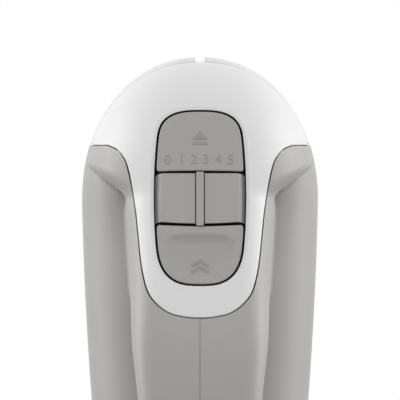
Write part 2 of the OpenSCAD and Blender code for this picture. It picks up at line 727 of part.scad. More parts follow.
module brush_springs() {
  color(steel) for (s = [-1, 1]) mirror([s < 0 ? 1 : 0, 0, 0]) translate([15.8, 0, brush_z]) rotate([0, 90, 0])
    coil(2.1, 0.3, 7.1, 4);
}

module motor_screws() {
  l = stack_z + stack_l - rb_z - 3;
  color(steel) for (a = [-1, 1], b = [-1, 1])
    translate([a * (stator_w / 2 - 3.5), b * (stator_d / 2 - 3.5), rb_z + 3.01]) screw(l, 1.78, 3, 1.8);
}

// ---- gearbox
gear_top = 13.5;
plate_x = 31;
module gearbox_frame() {
  color(nylon) difference() {
    union() {
      translate([-plate_x, gear_top - 3.5, fb_z]) cube([2 * plate_x, 3.5, shaft_hi + 6 - fb_z]);
      translate([-plate_x + 3, -gear_top + 0.2, fb_z]) cube([2 * plate_x - 6, 2 * gear_top - 3, 3]);
      translate([0, 0, fb_z]) cylinder(h = 7, r = 9);
      translate([-12, -gear_top + 0.2, shaft_hi + 4]) cube([24, 2 * gear_top - 3, 3.4]);
      for (x = [-gear_c, gear_c]) translate([x, gear_top - 3.5, gear_z]) rotate([-90, 0, 0]) cylinder(h = 11, r = 10);
      for (x = [-plate_x + 5, plate_x - 5], z = [fb_z + 4, shaft_hi + 1.5]) translate([x, -gear_top + 0.2, z]) rotate([-90, 0, 0])
        cylinder(h = 2 * gear_top - 3, r = 3);
    }
    translate([0, 0, fb_z - 1]) cylinder(h = 9, r = 7);
    translate([0, 0, shaft_hi + 3.9]) cylinder(h = 1.3, r = 5);
    for (x = [-gear_c, gear_c]) translate([x, 0, gear_z]) rotate([-90, 0, 0]) cylinder(h = 60, r = spindle_r + 2);
    for (x = [-plate_x + 5, plate_x - 5], z = [fb_z + 4, shaft_hi + 1.5]) translate([x, -gear_top - 1, z]) rotate([-90, 0, 0])
      cylinder(h = 12, r = 1.5, $fn = 24);
  }
}

module gearbox_cover() {
  color(nylon) difference() {
    union() {
      translate([-plate_x, -gear_top - 2.6, fb_z]) cube([2 * plate_x, 2.7, shaft_hi + 6 - fb_z]);
    }
    for (x = [-gear_c, gear_c]) translate([x, 0, gear_z]) rotate([90, 0, 0]) cylinder(h = 60, r = spindle_r + 2);
    for (x = [-plate_x + 5, plate_x - 5], z = [fb_z + 4, shaft_hi + 1.5]) translate([x, -gear_top - 6, z]) rotate([-90, 0, 0])
      cylinder(h = 12, r = 1.6, $fn = 24);
  }
}

module gearbox_screws() {
  color(steel) for (x = [-plate_x + 5, plate_x - 5], z = [fb_z + 4, shaft_hi + 1.5])
    translate([x, -gear_top + 6, z]) rotate([90, 0, 0]) screw(8.6, 1.45, 2.7, 1.8);
}

bush_l = 6;
module spindle_bushes() {
  color(brass) for (x = [-gear_c, gear_c]) {
    translate([x, gear_top - 3.5, gear_z]) rotate([-90, 0, 0]) sleeve(11, spindle_r + spindle_fit, spindle_r + 2);
    translate([x, -gear_top + 0.1, gear_z]) rotate([90, 0, 0]) sleeve(2.7, spindle_r + spindle_fit, spindle_r + 2);
  }
}

// wheel: involute-like section, helical along its axis
helix = atan(lead / (2 * PI * worm_r));
function inv_pt(r) = let(rb = wheel_r * cos(20), a = acos(min(1, rb / r)))
  tan(a) * 180 / PI - a;
function half_ang(r) = 90 / teeth + (inv_pt(wheel_r) - inv_pt(max(r, wheel_r * cos(20) + 0.001)))
  - backlash / wheel_r * 180 / PI;
module wheel(s) {
  rs = [wheel_r - 1.15 * module_mm, wheel_r - 0.5 * module_mm, wheel_r + 0.2 * module_mm,
    wheel_r + 0.9 * module_mm];
  prof = [for (i = [0:teeth - 1]) let(c = 360 * (i + 0.5) / teeth)
    each concat([for (r = rs) let(a = c - half_ang(r)) [r * cos(a), r * sin(a)]],
      [for (j = [3:-1:0]) let(a = c + half_ang(rs[j])) [rs[j] * cos(a), rs[j] * sin(a)]])];
  tw = wheel_w * tan(helix) / wheel_r * 180 / PI;
  resize([0, 0, 0]) rotate([-90, 0, 0]) difference() {
    rotate([0, 0, (s > 0 ? 180 : 0) - tw / 2]) linear_extrude(wheel_w, twist = -tw, slices = 2, center = true)
      polygon(prof);
    cylinder(h = 20, r = spindle_r, center = true);
    for (q = [-1, 1]) translate([0, 0, q * (wheel_w / 2)]) difference() {
      cylinder(h = 3, r = wheel_r - 3.2, center = true);
      cylinder(h = 4, r = spindle_r + 2.2, center = true);
    }
  }
}

module worm_wheel_left() {
  color(nylon) translate([-gear_c, 0, gear_z]) wheel(-1);
}

module worm_wheel_right() {
  color(nylon) translate([gear_c, 0, gear_z]) wheel(1);
}

spin_lo = -gear_top - 3;
spin_hi = underside - 0.6;
module spindle(x) {
  translate([x, spin_lo, gear_z]) rotate([-90, 0, 0]) difference() {
    cylinder(h = spin_hi - spin_lo, r = spindle_r);
    translate([0, 0, -1]) cylinder(h = 80, r = beater_r + socket_fit);
    for (a = [0, 90]) rotate([0, 0, a]) translate([-beater_r - 1.1, -1.2, spin_hi - spin_lo - 9]) cube([2 * beater_r + 2.2, 2.4, 20]);
  }
}

module spindle_left() {
  color(steel) spindle(-gear_c);
}

module spindle_right() {
  color(steel) spindle(gear_c);
}

module collar(x) {
  translate([x, underside - 8.6, gear_z]) rotate([-90, 0, 0]) difference() {
    union() {
      cylinder(h = 5, r = 8.8);
      translate([0, 0, 5]) cylinder(h = 4.2, r1 = 11.2, r2 = 9.6);
    }
    translate([0, 0, -1]) cylinder(h = 20, r = spindle_r);
  }
}

module collar_left() {
  color(dark) collar(-gear_c);
}

module collar_right() {
  color(dark) collar(gear_c);
}

module eject_pin(x) {
  translate([x, yoke_y + 0.75, gear_z]) rotate([-90, 0, 0]) {
    cylinder(h = 1.6, r = 5.4);
    cylinder(h = pin_end - yoke_y - 0.75, r = beater_r - 0.2);
  }
}

module eject_pin_left() {
  color(nylon) eject_pin(-gear_c);
}

module eject_pin_right() {
  color(nylon) eject_pin(gear_c);
}

pin_end = 3;
beat_y = pin_end + 0.35;
hub_y = underside + 62;
module beater_shaft(x, a) {
  translate([x, beat_y, gear_z]) rotate([-90, 0, 0]) {
    translate([0, 0, 0.8]) cylinder(h = hub_y - beat_y + 2, r = beater_r);
    cylinder(h = 0.8, r1 = beater_r - 0.6, r2 = beater_r);
    rotate([0, 0, a]) translate([-beater_r - 0.9, -0.9, spin_hi - beat_y - 8]) cube([2 * beater_r + 1.8, 1.8, 6]);
  }
}

module beater_shaft_left() {
  color(steel) beater_shaft(-gear_c, 0);
}

module beater_shaft_right() {
  color(steel) beater_shaft(gear_c, 0);
}

module beater_hub(x) {
  translate([x, 0, gear_z]) rotate([-90, 0, 0]) {
    translate([0, 0, underside + 6]) difference() {
      cylinder(h = 3, r = 6.4);
      translate([0, 0, -1]) cylinder(h = 5, r = beater_r);
    }
    translate([0, 0, hub_y + 3]) difference() {
      cylinder(h = 5, r = 5.4);
      translate([0, 0, -1]) cylinder(h = 1, r = beater_r);
    }
    translate([0, 0, hub_y + cage_l]) cylinder(h = 3, r = 5);
  }
}

module beater_hub_left() {
  color(steel) beater_hub(-gear_c);
}

module beater_hub_right() {
  color(steel) beater_hub(gear_c);
}

module beater_wires(x, a) {
  r = cage_r - wire / 2;
  b = 14;
  l = cage_l - 5.5;
  translate([x, hub_y + 5.5, gear_z]) rotate([-90, 0, 0]) for (i = [0:3]) rotate([0, 0, a + 90 * i]) {
    translate([5.4, -wire / 2, -wire / 2]) cube([r - b - 5.4, wire, wire]);
    translate([r - b, 0, b]) rotate([90, 0, 0]) rotate([0, 0, -90]) rotate_extrude(angle = 90) translate([b - wire / 2, -wire / 2]) square([wire, wire]);
    translate([r - wire / 2, -wire / 2, b]) cube([wire, wire, l - 2 * b]);
    translate([r - b, 0, l - b]) rotate([90, 0, 0]) rotate_extrude(angle = 90) translate([b - wire / 2, -wire / 2]) square([wire, wire]);
    translate([5, -wire / 2, l - wire / 2]) cube([r - b - 5, wire, wire]);
  }
}

module beater_wires_left() {
  color(steel) beater_wires(-gear_c, 0);
}

module beater_wires_right() {
  color(steel) beater_wires(gear_c, 45);
}

top_cover();
nose_band();
housing_left();
housing_right();
heel_pads();
housing_screws();
cord_inlet();
cord_clamp();
clamp_screws();
eject_button();
eject_yoke();
eject_springs();
speed_slider();
slider_band();
slider_carrier();
slider_rail();
turbo_button();
turbo_spring();
turbo_switch();
speed_switch();
control_board();
capacitor();
terminal_block();
motor_shaft();
rotor_core();
rotor_windings();
commutator();
fan();
rear_bearing();
front_bearing();
thrust_ball();
thrust_plate();
stator_core();
field_coils();
rear_bracket();
brush_holders();
brushes();
brush_springs();
motor_screws();
gearbox_frame();
gearbox_cover();
gearbox_screws();
worm_wheel_left();
worm_wheel_right();
spindle_left();
spindle_right();
spindle_bushes();
collar_left();
collar_right();
eject_pin_left();
eject_pin_right();
beater_shaft_left();
beater_shaft_right();
beater_hub_left();
beater_hub_right();
beater_wires_left();
beater_wires_right();
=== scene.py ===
# Dresses a packed hand mixer: outer shells, keys, beaters and a material for every piece
import json
import math

import bpy
import numpy as np
from mathutils import Matrix, Vector


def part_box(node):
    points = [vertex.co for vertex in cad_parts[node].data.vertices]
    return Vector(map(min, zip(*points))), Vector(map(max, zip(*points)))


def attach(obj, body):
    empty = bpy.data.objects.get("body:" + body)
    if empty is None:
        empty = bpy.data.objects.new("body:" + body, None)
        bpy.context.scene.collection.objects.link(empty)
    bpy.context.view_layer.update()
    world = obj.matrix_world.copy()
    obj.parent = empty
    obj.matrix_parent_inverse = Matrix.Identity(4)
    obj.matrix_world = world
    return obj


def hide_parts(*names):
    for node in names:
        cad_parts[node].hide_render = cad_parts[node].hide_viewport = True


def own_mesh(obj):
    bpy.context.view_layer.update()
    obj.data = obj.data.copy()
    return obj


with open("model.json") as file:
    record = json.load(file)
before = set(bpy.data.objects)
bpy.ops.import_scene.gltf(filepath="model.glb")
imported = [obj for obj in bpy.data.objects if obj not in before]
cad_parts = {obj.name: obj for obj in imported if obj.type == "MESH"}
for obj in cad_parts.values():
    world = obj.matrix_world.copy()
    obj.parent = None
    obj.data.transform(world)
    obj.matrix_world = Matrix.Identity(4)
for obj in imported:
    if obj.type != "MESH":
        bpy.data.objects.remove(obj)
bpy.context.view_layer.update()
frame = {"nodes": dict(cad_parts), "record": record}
mm = 0.001

# Sizes in millimetres. v is the depth over the underside, so Y = underside - v
casing = {
    "height": 198.0,
    "halfWidth": 43.0,
    "underside": 34.0,
    "motorDepth": 72.0,
    "bodyTip": 45.0,  # v where the nose closes
    "bodyTaper": 2.2,
    "coverTip": 50.0,
    "coverRoot": 40.0,  # v of the cover's hidden lower side
    "coverRise": 16.0,  # how far that side comes down at the nose
    "coverInset": 0.9,
    "domeStart": 14.0,  # the cover's dome and its lower side close from here, over noseZ
    "underStart": 19.0,
    "handleTop": 131.0,
    "handleBar": 32.0,
    "grip": 20.0,
    "wall": 2.4,
    "bandStep": 1.9,
    "heel": 1.2,
    "heelRadius": 5.0,
    "tilt": math.radians(20.8),
    "partDepth": 55.0,
    "gap": 0.12,
    "line": 0.42,
    "edge": 0.3,
}
noseZ = casing["height"] - 52
coverTop = casing["height"] - casing["bandStep"]
partY = casing["underside"] - casing["partDepth"]
openLow, openHigh, openRound = 20.0, noseZ - 34, 16.0
barLow = casing["handleTop"] - casing["handleBar"]
gearZ = noseZ - 8
gearX = 19.5
shoulderZ = noseZ + 20.0
bandZ = shoulderZ + 0.5
# exponents of the rounded outlines: 2 is an ellipse, more is squarer
bows = {"front": 2.1, "side": 2.4, "under": 2.2, "body": 2.6, "grip": 4.4, "gripFall": 1.9}


# objects
def deselect():
    if bpy.context.object and bpy.context.object.mode != "OBJECT":
        bpy.ops.object.mode_set(mode="OBJECT")
    bpy.ops.object.select_all(action="DESELECT")


def pick(piece):
    deselect()
    piece.select_set(True)
    bpy.context.view_layer.objects.active = piece


def settle(piece, name):
    # leaves the object at the origin with its place in its mesh
    pick(piece)
    if piece.type != "MESH":
        bpy.ops.object.convert(target="MESH")
        piece = bpy.context.object
    bpy.ops.object.transform_apply(location=True, rotation=True, scale=True)
    piece.name = name
    return piece


def modify(piece, kind, **values):
    pick(piece)
    added = piece.modifiers.new(kind.title(), kind)
    for key, value in values.items():
        setattr(added, key, value)
    bpy.ops.object.modifier_apply(modifier=added.name)
    return piece


def combine(piece, tool, operation):
    # uses the tool up
    modify(piece, "BOOLEAN", operation=operation, object=tool, solver="MANIFOLD")
    bpy.data.objects.remove(tool, do_unlink=True)
    return piece


def cut(piece, *tools):
    for tool in tools:
        combine(piece, tool, "DIFFERENCE")
    return piece


def joined(name, pieces):
    deselect()
    for piece in pieces:
        piece.select_set(True)
    bpy.context.view_layer.objects.active = pieces[0]
    bpy.ops.object.join()
    pieces[0].name = name
    return pieces[0]


def twin(piece, name, shift=(0, 0, 0)):
    copy = piece.copy()
    copy.data = piece.data.copy()
    copy.data.transform(Matrix.Translation(Vector(shift) * mm))
    copy.name = name
    bpy.context.collection.objects.link(copy)
    return copy


def smooth(piece, degrees):
    pick(piece)
    bpy.ops.object.shade_smooth_by_angle(angle=math.radians(degrees))
    return piece


def skin(name, rings, loop=False):
    # closed skin over a stack of rings of points in mm; loop joins the last ring to the first
    rings = list(rings) + ([rings[0]] if loop else [])
    deselect()
    bpy.ops.mesh.primitive_grid_add(x_subdivisions=len(rings[0]), y_subdivisions=len(rings) - 1)
    piece = bpy.context.object
    piece.name = name
    points = np.concatenate([np.vstack([ring, ring[:1]]) for ring in rings]) * mm
    piece.data.vertices.foreach_set("co", points.astype(np.float32).ravel())
    bpy.ops.object.mode_set(mode="EDIT")
    bpy.ops.mesh.select_all(action="SELECT")
    bpy.ops.mesh.remove_doubles(threshold=1e-6)
    bpy.ops.mesh.select_all(action="DESELECT")
    bpy.ops.mesh.select_non_manifold(extend=False, use_wire=False, use_multi_face=False,
                                     use_non_contiguous=False, use_verts=False)
    bpy.ops.mesh.edge_face_add()
    bpy.ops.mesh.select_all(action="SELECT")
    bpy.ops.mesh.normals_make_consistent(inside=False)
    bpy.ops.object.mode_set(mode="OBJECT")
    return piece


def block(low, high):
    deselect()
    low, high = Vector(low) * mm, Vector(high) * mm
    bpy.ops.mesh.primitive_cube_add(size=1, location=(low + high) / 2, scale=high - low)
    return settle(bpy.context.object, "block")


def rod(start, end, radius, sides=48):
    deselect()
    start, end = Vector(start) * mm, Vector(end) * mm
    turn = (end - start).to_track_quat("Z", "Y").to_euler()
    bpy.ops.mesh.primitive_cylinder_add(vertices=sides, radius=radius * mm, depth=(end - start).length,
                                        location=(start + end) / 2, rotation=turn)
    return settle(bpy.context.object, "rod")


def spun(name, profile, sides, loop=False):
    # profile of (radius, height) in mm spun round Z: its poles are closed, or with loop it closes on itself
    angles = np.radians(np.arange(sides) * 360 / sides)
    rings = [np.stack([r * np.cos(angles), r * np.sin(angles), np.full(sides, float(h))], 1)
             for r, h in profile]
    return skin(name, rings, loop)


def alongY(piece, x, z, y=0.0):
    # stands a part that was made on Z onto +Y at x, z
    piece.data.transform(Matrix.Translation(Vector((x, y, z)) * mm) @ Matrix.Rotation(-math.pi / 2, 4, "X"))
    return piece


# curves of the casing
def unit(ways):
    # rows of length 1
    return ways / np.maximum(np.linalg.norm(ways, axis=1, keepdims=True), 1e-6)


def fall(t, n):
    # from 1 at 0 down to 0 at 1, along a quarter of a rounded outline
    return (1 - np.clip(t, 0, 1) ** n) ** (1 / n)


def power(value, exponent):
    # keeps the value's sign
    return np.sign(value) * np.abs(value) ** exponent


def glide(z, low, high):
    # from 0 at low to 1 at high, level at both
    u = np.clip((z - low) / (high - low), 0, 1)
    return u * u * (3 - 2 * u)


def ease(table, z):
    # smooth line through a table's points
    xs, ys = np.array(table, float).T
    slope = np.empty(len(xs))
    slope[1:-1] = (ys[2:] - ys[:-2]) / (xs[2:] - xs[:-2])
    slope[0], slope[-1] = (ys[1] - ys[0]) / (xs[1] - xs[0]), (ys[-1] - ys[-2]) / (xs[-1] - xs[-2])
    i = np.clip(np.searchsorted(xs, z, side="right") - 1, 0, len(xs) - 2)
    step = xs[i + 1] - xs[i]
    u = (z - xs[i]) / step
    return ((2 * u**3 - 3 * u**2 + 1) * ys[i] + (u**3 - 2 * u**2 + u) * step * slope[i]
            + (3 * u**2 - 2 * u**3) * ys[i + 1] + (u**3 - u**2) * step * slope[i + 1])


def heelIn(z):
    # how far the heel's rounding draws the skin in
    low, r = casing["heel"], casing["heelRadius"]
    return r - np.sqrt(r * r - np.clip(low + r - np.maximum(z, low), 0, r) ** 2)


def bodySection(z, d=0.0):
    # half width, lowest, widest and highest v, and exponent at z, on a skin d inside
    reach = casing["height"] - d - noseZ
    taper = casing["bodyTaper"] * (np.clip(noseZ + 4 - z, 0, None) / 57) ** 1.6
    w = casing["halfWidth"] * fall((z - noseZ) / reach, bows["front"]) - taper - heelIn(z) - d
    f, tip = fall((z - noseZ) / reach, bows["side"]), casing["bodyTip"]
    low, high = tip - (tip - d) * f + heelIn(z), tip + (casing["motorDepth"] - tip - d) * f - heelIn(z)
    return w, low, (low + high) / 2, high, bows["body"]


top = casing["handleTop"]
topLine = [(0, top - 15), (4, top - 10.5), (10, top - 7), (20, top - 3.8), (35, top - 1.3), (55, top),
           (75, top - 0.4), (92, top - 2.9), (noseZ - 42, top - 6.1), (noseZ - 30, top - 10.7),
           (noseZ - 20, top - 14.5)]
grip = casing["grip"]
gripLine = [(0, grip - 0.5), (20, grip), (50, grip + 0.6), (75, grip + 2.4), (noseZ - 53, grip + 4.4),
            (noseZ - 36, grip + 5.1), (noseZ - 18, grip + 6.1), (noseZ, grip + 6.9),
            (noseZ + 20, grip + 7.2), (casing["height"], grip + 7.2)]


def slopeLine(z):
    return top - 34.6 + (noseZ + 33 - z) * math.tan(casing["tilt"])


def wallIn(u):
    return 1 - np.sqrt(1 - np.clip(u, 0, 1) ** 2)


def coverSection(z, d=0.0):
    line = np.where(z < noseZ - 30, ease(topLine, z), slopeLine(z))
    tip, dome, under = casing["coverTip"], casing["domeStart"], casing["underStart"]
    drop = fall((z - noseZ - dome) / (coverTop - d - noseZ - dome), bows["side"])
    high = tip + (line - tip - d) * drop - heelIn(z) * 0.8
    deep = casing["coverRoot"] - casing["coverRise"] * glide(z, noseZ + 4, noseZ + under)
    rise = fall((z - noseZ - under) / (coverTop - d - noseZ - under), bows["under"])
    above = tip - (tip - deep - d) * rise
    upper = z > (openLow + openHigh) / 2
    b = wallIn(np.where(upper, z - openHigh + openRound - d, openLow + openRound - d - z) / openRound)
    low = np.where(z > noseZ + dome, above, (barLow + d) * (1 - b) + (deep + d) * b)
    # the widest line drifts, so that the flanks run evenly past the opening's ends
    share = np.maximum(glide(z, 72, noseZ - 8), 1 - glide(z, -12, 44))
    mid = high / 2 + (np.where(z > noseZ + dome, above, deep + d) * share + (barLow + d) * (1 - share)) / 2
    g = glide(z, noseZ + 0.5, noseZ + dome)
    close = fall((z - noseZ) / (coverTop - d - noseZ), bows["front"])
    wide = (casing["halfWidth"] - casing["coverInset"]) * close
    w = ease(gripLine, z) * (1 - g) + wide * g - heelIn(z) - d
    n = bows["grip"] - bows["gripFall"] * glide(z, noseZ - 4, noseZ + 15)
    return w, low, np.maximum(mid, low), high, n


def skinValue(section, points):
    # under 0 inside the section's skin, over 0 outside it
    w, low, mid, high, n = section(points[:, 2])
    v = casing["underside"] - points[:, 1]
    tall = np.maximum(np.where(v > mid, high - mid, mid - low), 0.02)
    return (np.abs(points[:, 0]) / np.maximum(w, 0.02)) ** n + (np.abs(v - mid) / tall) ** n - 1


def skinNormal(section, points):
    step = 0.03
    slope = [skinValue(section, points + axis) - skinValue(section, points - axis)
             for axis in np.eye(3) * step]
    return unit(np.stack(slope, 1))


def firstHit(section, start, ahead, reach):
    # first crossing of the section's skin along each ray
    step, halvings = 0.8, 24
    inside = skinValue(section, start) < 0
    near, far = np.zeros(len(start)), np.full(len(start), float(reach))
    found = np.zeros(len(start), bool)
    for a in np.arange(0, reach - step, step):
        crossed = ((skinValue(section, start + ahead * (a + step)) < 0) != inside) & ~found
        near[crossed], far[crossed] = a, a + step
        found |= crossed
    for _ in range(halvings):
        mid = (near + far) / 2
        crossed = (skinValue(section, start + ahead * mid[:, None]) < 0) != inside
        far, near = np.where(crossed, mid, far), np.where(crossed, near, mid)
    return start + ahead * far[:, None]


def fromCore(section, core, ways, reach):
    # where rays from one point leave the skin
    return firstHit(section, np.repeat(core[None], len(ways), 0), ways, reach)


def ringAt(section, z, d, count):
    # count even steps round one level of a section
    w, low, mid, high, n = section(np.float64(z), d)
    a = np.radians(np.linspace(-90, 270, 1441))
    c, s = np.cos(a), np.sin(a)
    x = max(w, 0.05) * np.sign(c) * np.abs(c) ** (2 / n)
    tall = np.maximum(np.where(s > 0, mid - low, high - mid), 0.05)
    y = casing["underside"] - mid + tall * np.sign(s) * np.abs(s) ** (2 / n)
    run = np.concatenate([[0], np.cumsum(np.hypot(np.diff(x), np.diff(y)))])
    even = np.linspace(0, run[-1], count + 1)[:-1]
    return np.stack([np.interp(even, run, x), np.interp(even, run, y), np.full(count, z)], 1)


arch = [openHigh - openRound + openRound * math.sin(t) for t in np.linspace(0, math.pi / 2, 14)]
arch += [openLow + openRound * (1 - math.sin(t)) for t in np.linspace(0, math.pi / 2, 14)]


def loft(name, section, high, d=0.0, count=220, step=1.2, low=casing["heel"]):
    # solid of a section's levels, closer near the heel and round the opening's ends
    zs = list(np.arange(low, high, step)) + [high]
    zs += [low + v for v in (0.2, 0.6, 1.2, 2.0, 3.2)] + (arch if section is coverSection else [])
    zs = sorted(set(round(float(z), 3) for z in zs if z >= low))
    return skin(name, [ringAt(section, z, d, count) for z in zs])


# the control window has its own axes: across, up the slope, and out of it
panelZ = noseZ + 1
panelY = casing["underside"] - slopeLine(panelZ)
outward = np.array([0, -math.cos(casing["tilt"]), math.sin(casing["tilt"])])
upSlope = np.array([0, math.sin(casing["tilt"]), math.cos(casing["tilt"])])


def upright(y, z, tilt=0.0):
    # stands a flat drawing up at y, z, leaning back by tilt
    return Matrix.Translation(Vector((0, y, z)) * mm) @ Matrix.Rotation(math.pi / 2 - tilt, 4, "X")


onSlope = upright(panelY, panelZ, casing["tilt"])


def slopePoint(x, s, n):
    # x across, s up the slope and n out of it
    x, s, n = np.broadcast_arrays(x, s, n)
    return (np.array([0, panelY, panelZ]) + x[..., None] * np.array([1.0, 0, 0]) + s[..., None] * upSlope
            + n[..., None] * outward)


def toSlope(piece):
    piece.data.transform(onSlope)
    return piece


window = {
    "half": 16.65,
    "high": 35.4,
    "low": -33.9,
    "topBow": 12.5,
    "lowBow": 17.5,
    "taper": 0.00012,
    "round": 2 / 3,
    "cutHigh": 9.95,  # the slider's field runs from cutLow to cutHigh
    "cutLow": -10.4,
    "bow": 154.0,
    "gap": 0.55,
    "highGap": 0.95,
    "lowGap": 0.95,
    "drop": 0.4,
    "cap": 2.2,
}


def onFace(flat, lift):
    # points across and up the slope, lifted out of the cover's face
    start = slopePoint(flat[:, 0], flat[:, 1], 16.0)
    return firstHit(coverSection, start, -outward, 40) + outward * np.reshape(lift, (-1, 1))


def grown(ring, amount):
    # closed outline moved outwards by amount
    along = unit(np.roll(ring, -1, 0) - np.roll(ring, 1, 0))
    turn = np.sum(ring[:, 0] * np.roll(ring, -1, 0)[:, 1] - np.roll(ring, -1, 0)[:, 0] * ring[:, 1])
    return ring + np.stack([along[:, 1], -along[:, 0]], 1) * amount * np.sign(turn)


def spread(line, count, last=False):
    # count points along a line at even steps
    run = np.concatenate([[0], np.cumsum(np.linalg.norm(np.diff(line, axis=0), axis=1))])
    even = np.linspace(0, run[-1], count + 1)[: count + (1 if last else 0)]
    return np.stack([np.interp(even, run, line[:, k]) for k in range(line.shape[1])], 1)


def windowSide():
    # right side of the window from its lowest to its highest point
    a = np.radians(np.linspace(-90, 0, 200))
    half, n = window["half"], window["round"]
    low = np.stack([half * np.cos(a) ** n,
                    window["low"] + window["lowBow"] * (1 - np.abs(np.sin(a)) ** n)], 1)
    a = np.radians(np.linspace(0, 90, 200))
    high = np.stack([half * np.cos(a) ** n,
                     window["high"] - window["topBow"] * (1 - np.sin(a) ** n)], 1)
    straight = np.linspace(low[-1, 1], high[0, 1], 80)[1:-1]
    side = np.vstack([low, np.column_stack([np.full(78, half), straight]), high])
    side[:, 0] *= 1 - window["taper"] * (side[:, 1] - 1) ** 2
    return side


shares = [64, 54, 26, 74]  # points on each stretch of the cover's half outline


def mirrored(half):
    # whole ring from its right half, first and last points on the centre line
    left = half[-2:0:-1].copy()
    left[:, 0] *= -1
    return np.vstack([half, left])


def windowRing():
    # its points pair up with those of the cover's outline
    side = windowSide()
    stops = [0] + [np.argmin(abs(side[:, 1] - s)) for s in (-20, 18, 25.5)] + [len(side) - 1]
    parts = [spread(side[stops[i]:stops[i + 1] + 1], shares[i]) for i in range(4)] + [side[-1:]]
    half = np.vstack(parts)
    half[0, 0] = half[-1, 0] = 0
    return mirrored(half)


# the white cover's edge seen from the front: across, and height over the nose line
edgeLine = [(0, -42.2), (5, -41.9), (10.5, -40.6), (14.6, -38), (18.1, -34), (19.9, -29), (21.2, -22),
            (22.2, -12.3), (23, -4.6), (24.4, 4.4), (25.7, 10.7), (27.2, 15), (30, 18.4), (33.5, 20)]


def flowing(points):
    # smooth line through points, mirrored at its first one
    pts = np.array(points, float)
    pts = np.vstack([[-pts[1, 0], pts[1, 1]], pts, 2 * pts[-1] - pts[-2]])
    out = []
    for i in range(1, len(pts) - 2):
        a, b, c, e = pts[i - 1:i + 3]
        for u in np.linspace(0, 1, 10, endpoint=False):
            out.append(0.5 * (2 * b + (c - a) * u + (2 * a - 5 * b + 4 * c - e) * u**2
                              + (3 * b - a - 3 * c + e) * u**3))
    return np.array(out + [pts[-2]])


def coverOutline():
    # the cover's lower edge on its skin, and which way the rim's face runs
    core = np.array([0, partY, noseZ + 4])
    line = flowing(edgeLine)
    start = np.stack([line[:, 0], np.full(len(line), -150.0), line[:, 1] + noseZ], 1)
    front = firstHit(coverSection, start, np.array([0, 1.0, 0]), 200)
    w, low, mid, high, n = coverSection(np.float64(shoulderZ))
    tall = high - mid
    drop = (casing["partDepth"] - mid) / tall
    a = np.linspace(math.acos((line[-1, 0] / w) ** (n / 2)), math.asin(power(drop, n / 2)), 60)
    side = np.stack([w * np.cos(a) ** (2 / n), casing["underside"] - mid - tall * power(np.sin(a), 2 / n),
                     np.full(len(a), shoulderZ)], 1)
    b = np.linspace(math.atan2(shoulderZ - core[2], side[-1, 0]), math.pi / 2, 160)
    dome = fromCore(coverSection, core, np.stack([np.cos(b), 0 * b, np.sin(b)], 1), 120)
    tongue = np.argmin(abs(line[:, 1] + 22))
    parts = [front[:tongue + 1], front[tongue:], side, dome]
    half = np.vstack([spread(part, share) for part, share in zip(parts, shares)] + [dome[-1:]])
    half[0, 0] = half[-1, 0] = 0
    inward = np.zeros_like(half)
    inward[:, 1] = 1
    normal = skinNormal(coverSection, half)
    k = sum(shares[:2])
    inward[k:k + shares[2]] = -normal[k:k + shares[2]] * [1, 1, 0]
    inward[k + shares[2]:] = -normal[k + shares[2]:] * [1, 0, 1]
    return core, mirrored(half), mirrored(unit(inward))


def sheetOf(section, core, pole, edge):
    # gives the ring on the skin at a share t of the way from pole to edge
    reach = np.linalg.norm(edge - core, axis=1).max() + 30
    return lambda t: fromCore(section, core, unit(pole * (1 - t) + edge * t - core), reach)


def lined(section, rings):
    # the same rings on the wall's inner side
    return [ring - skinNormal(section, ring) * casing["wall"] for ring in rings]


rim = {"width": 1.25, "dip": 0.34, "bead": 0.09, "skirt": 1.3, "skirtDeep": 7.2, "margin": 0.75}


def makeCover():
    # a shell from the skirt round the window, over the face to the outer edge and back inside
    core, edge, inward = coverOutline()
    ring = windowRing()
    width, skirt, deep, bead = rim["width"], rim["skirt"], rim["skirtDeep"], rim["bead"]
    wall, r = casing["wall"], casing["edge"]

    def lip(inset, depth):
        # ring round the window, inset mm inside its line and depth mm under the face
        return onFace(grown(ring, -inset), -depth)

    lipEdge = lip(-width - rim["margin"], 0)
    between = sheetOf(coverSection, core, lipEdge, edge)
    sheet = [between(t) for t in np.linspace(0, 1, 30)[1:-1] ** 0.92]
    sheet.append(between(0.985))
    normal = skinNormal(coverSection, edge)
    edgeRoll = rolled(edge, rimSide(coverSection, edge, lipEdge), normal, r, [5, 30, 60, 90])
    foot = edge - normal * r + inward * (wall - r)
    inner = lined(coverSection, [between(t) for t in np.linspace(0.03, 0.96, 18)[::-1]])
    rings = [lip(inset, depth) for inset, depth in (
        (-skirt, wall + 0.1), (-skirt, deep), (0, deep), (0, 0.75), (-0.03, 0.56), (-0.14, 0.42),
        (-0.32, rim["dip"]), (-width + 0.22, 0.02), (-width, -bead), (-width - 0.25, -bead * 0.8))]
    piece = skin("topCover", rings + [lipEdge] + sheet + edgeRoll + [foot] + inner, loop=True)
    # room for the slider's legs behind the face
    side = slider["travel"] + slider["rib"] / 2 + slider["roll"] + 0.35
    low, high = window["cutLow"] - 1.4, window["cutHigh"] + 0.4
    cut(piece, toSlope(block((-side, low, -30), (side, high, -wall))))
    return trueShade(piece, lambda p: skinDepth(coverSection, p))


def listed(items, name, width=3, kind=float):
    # one value of every item in a mesh's list, as rows
    values = np.empty(len(items) * width, kind)
    items.foreach_get(name, values)
    return values.reshape(-1, width) if width > 1 else values


def vertexTable(piece):
    return listed(piece.data.vertices, "co") / mm


def faceTable(piece):
    # middle of each face in mm and the way it faces
    return listed(piece.data.polygons, "center") / mm, listed(piece.data.polygons, "normal")


def darken(piece, dark):
    # gives the chosen faces black as their last material: painted shade
    piece.data.materials.append(looks["rubber_black"])
    last = len(piece.data.materials) - 1
    piece.data.polygons.foreach_set("material_index", dark.astype(np.int32) * last)
    return piece


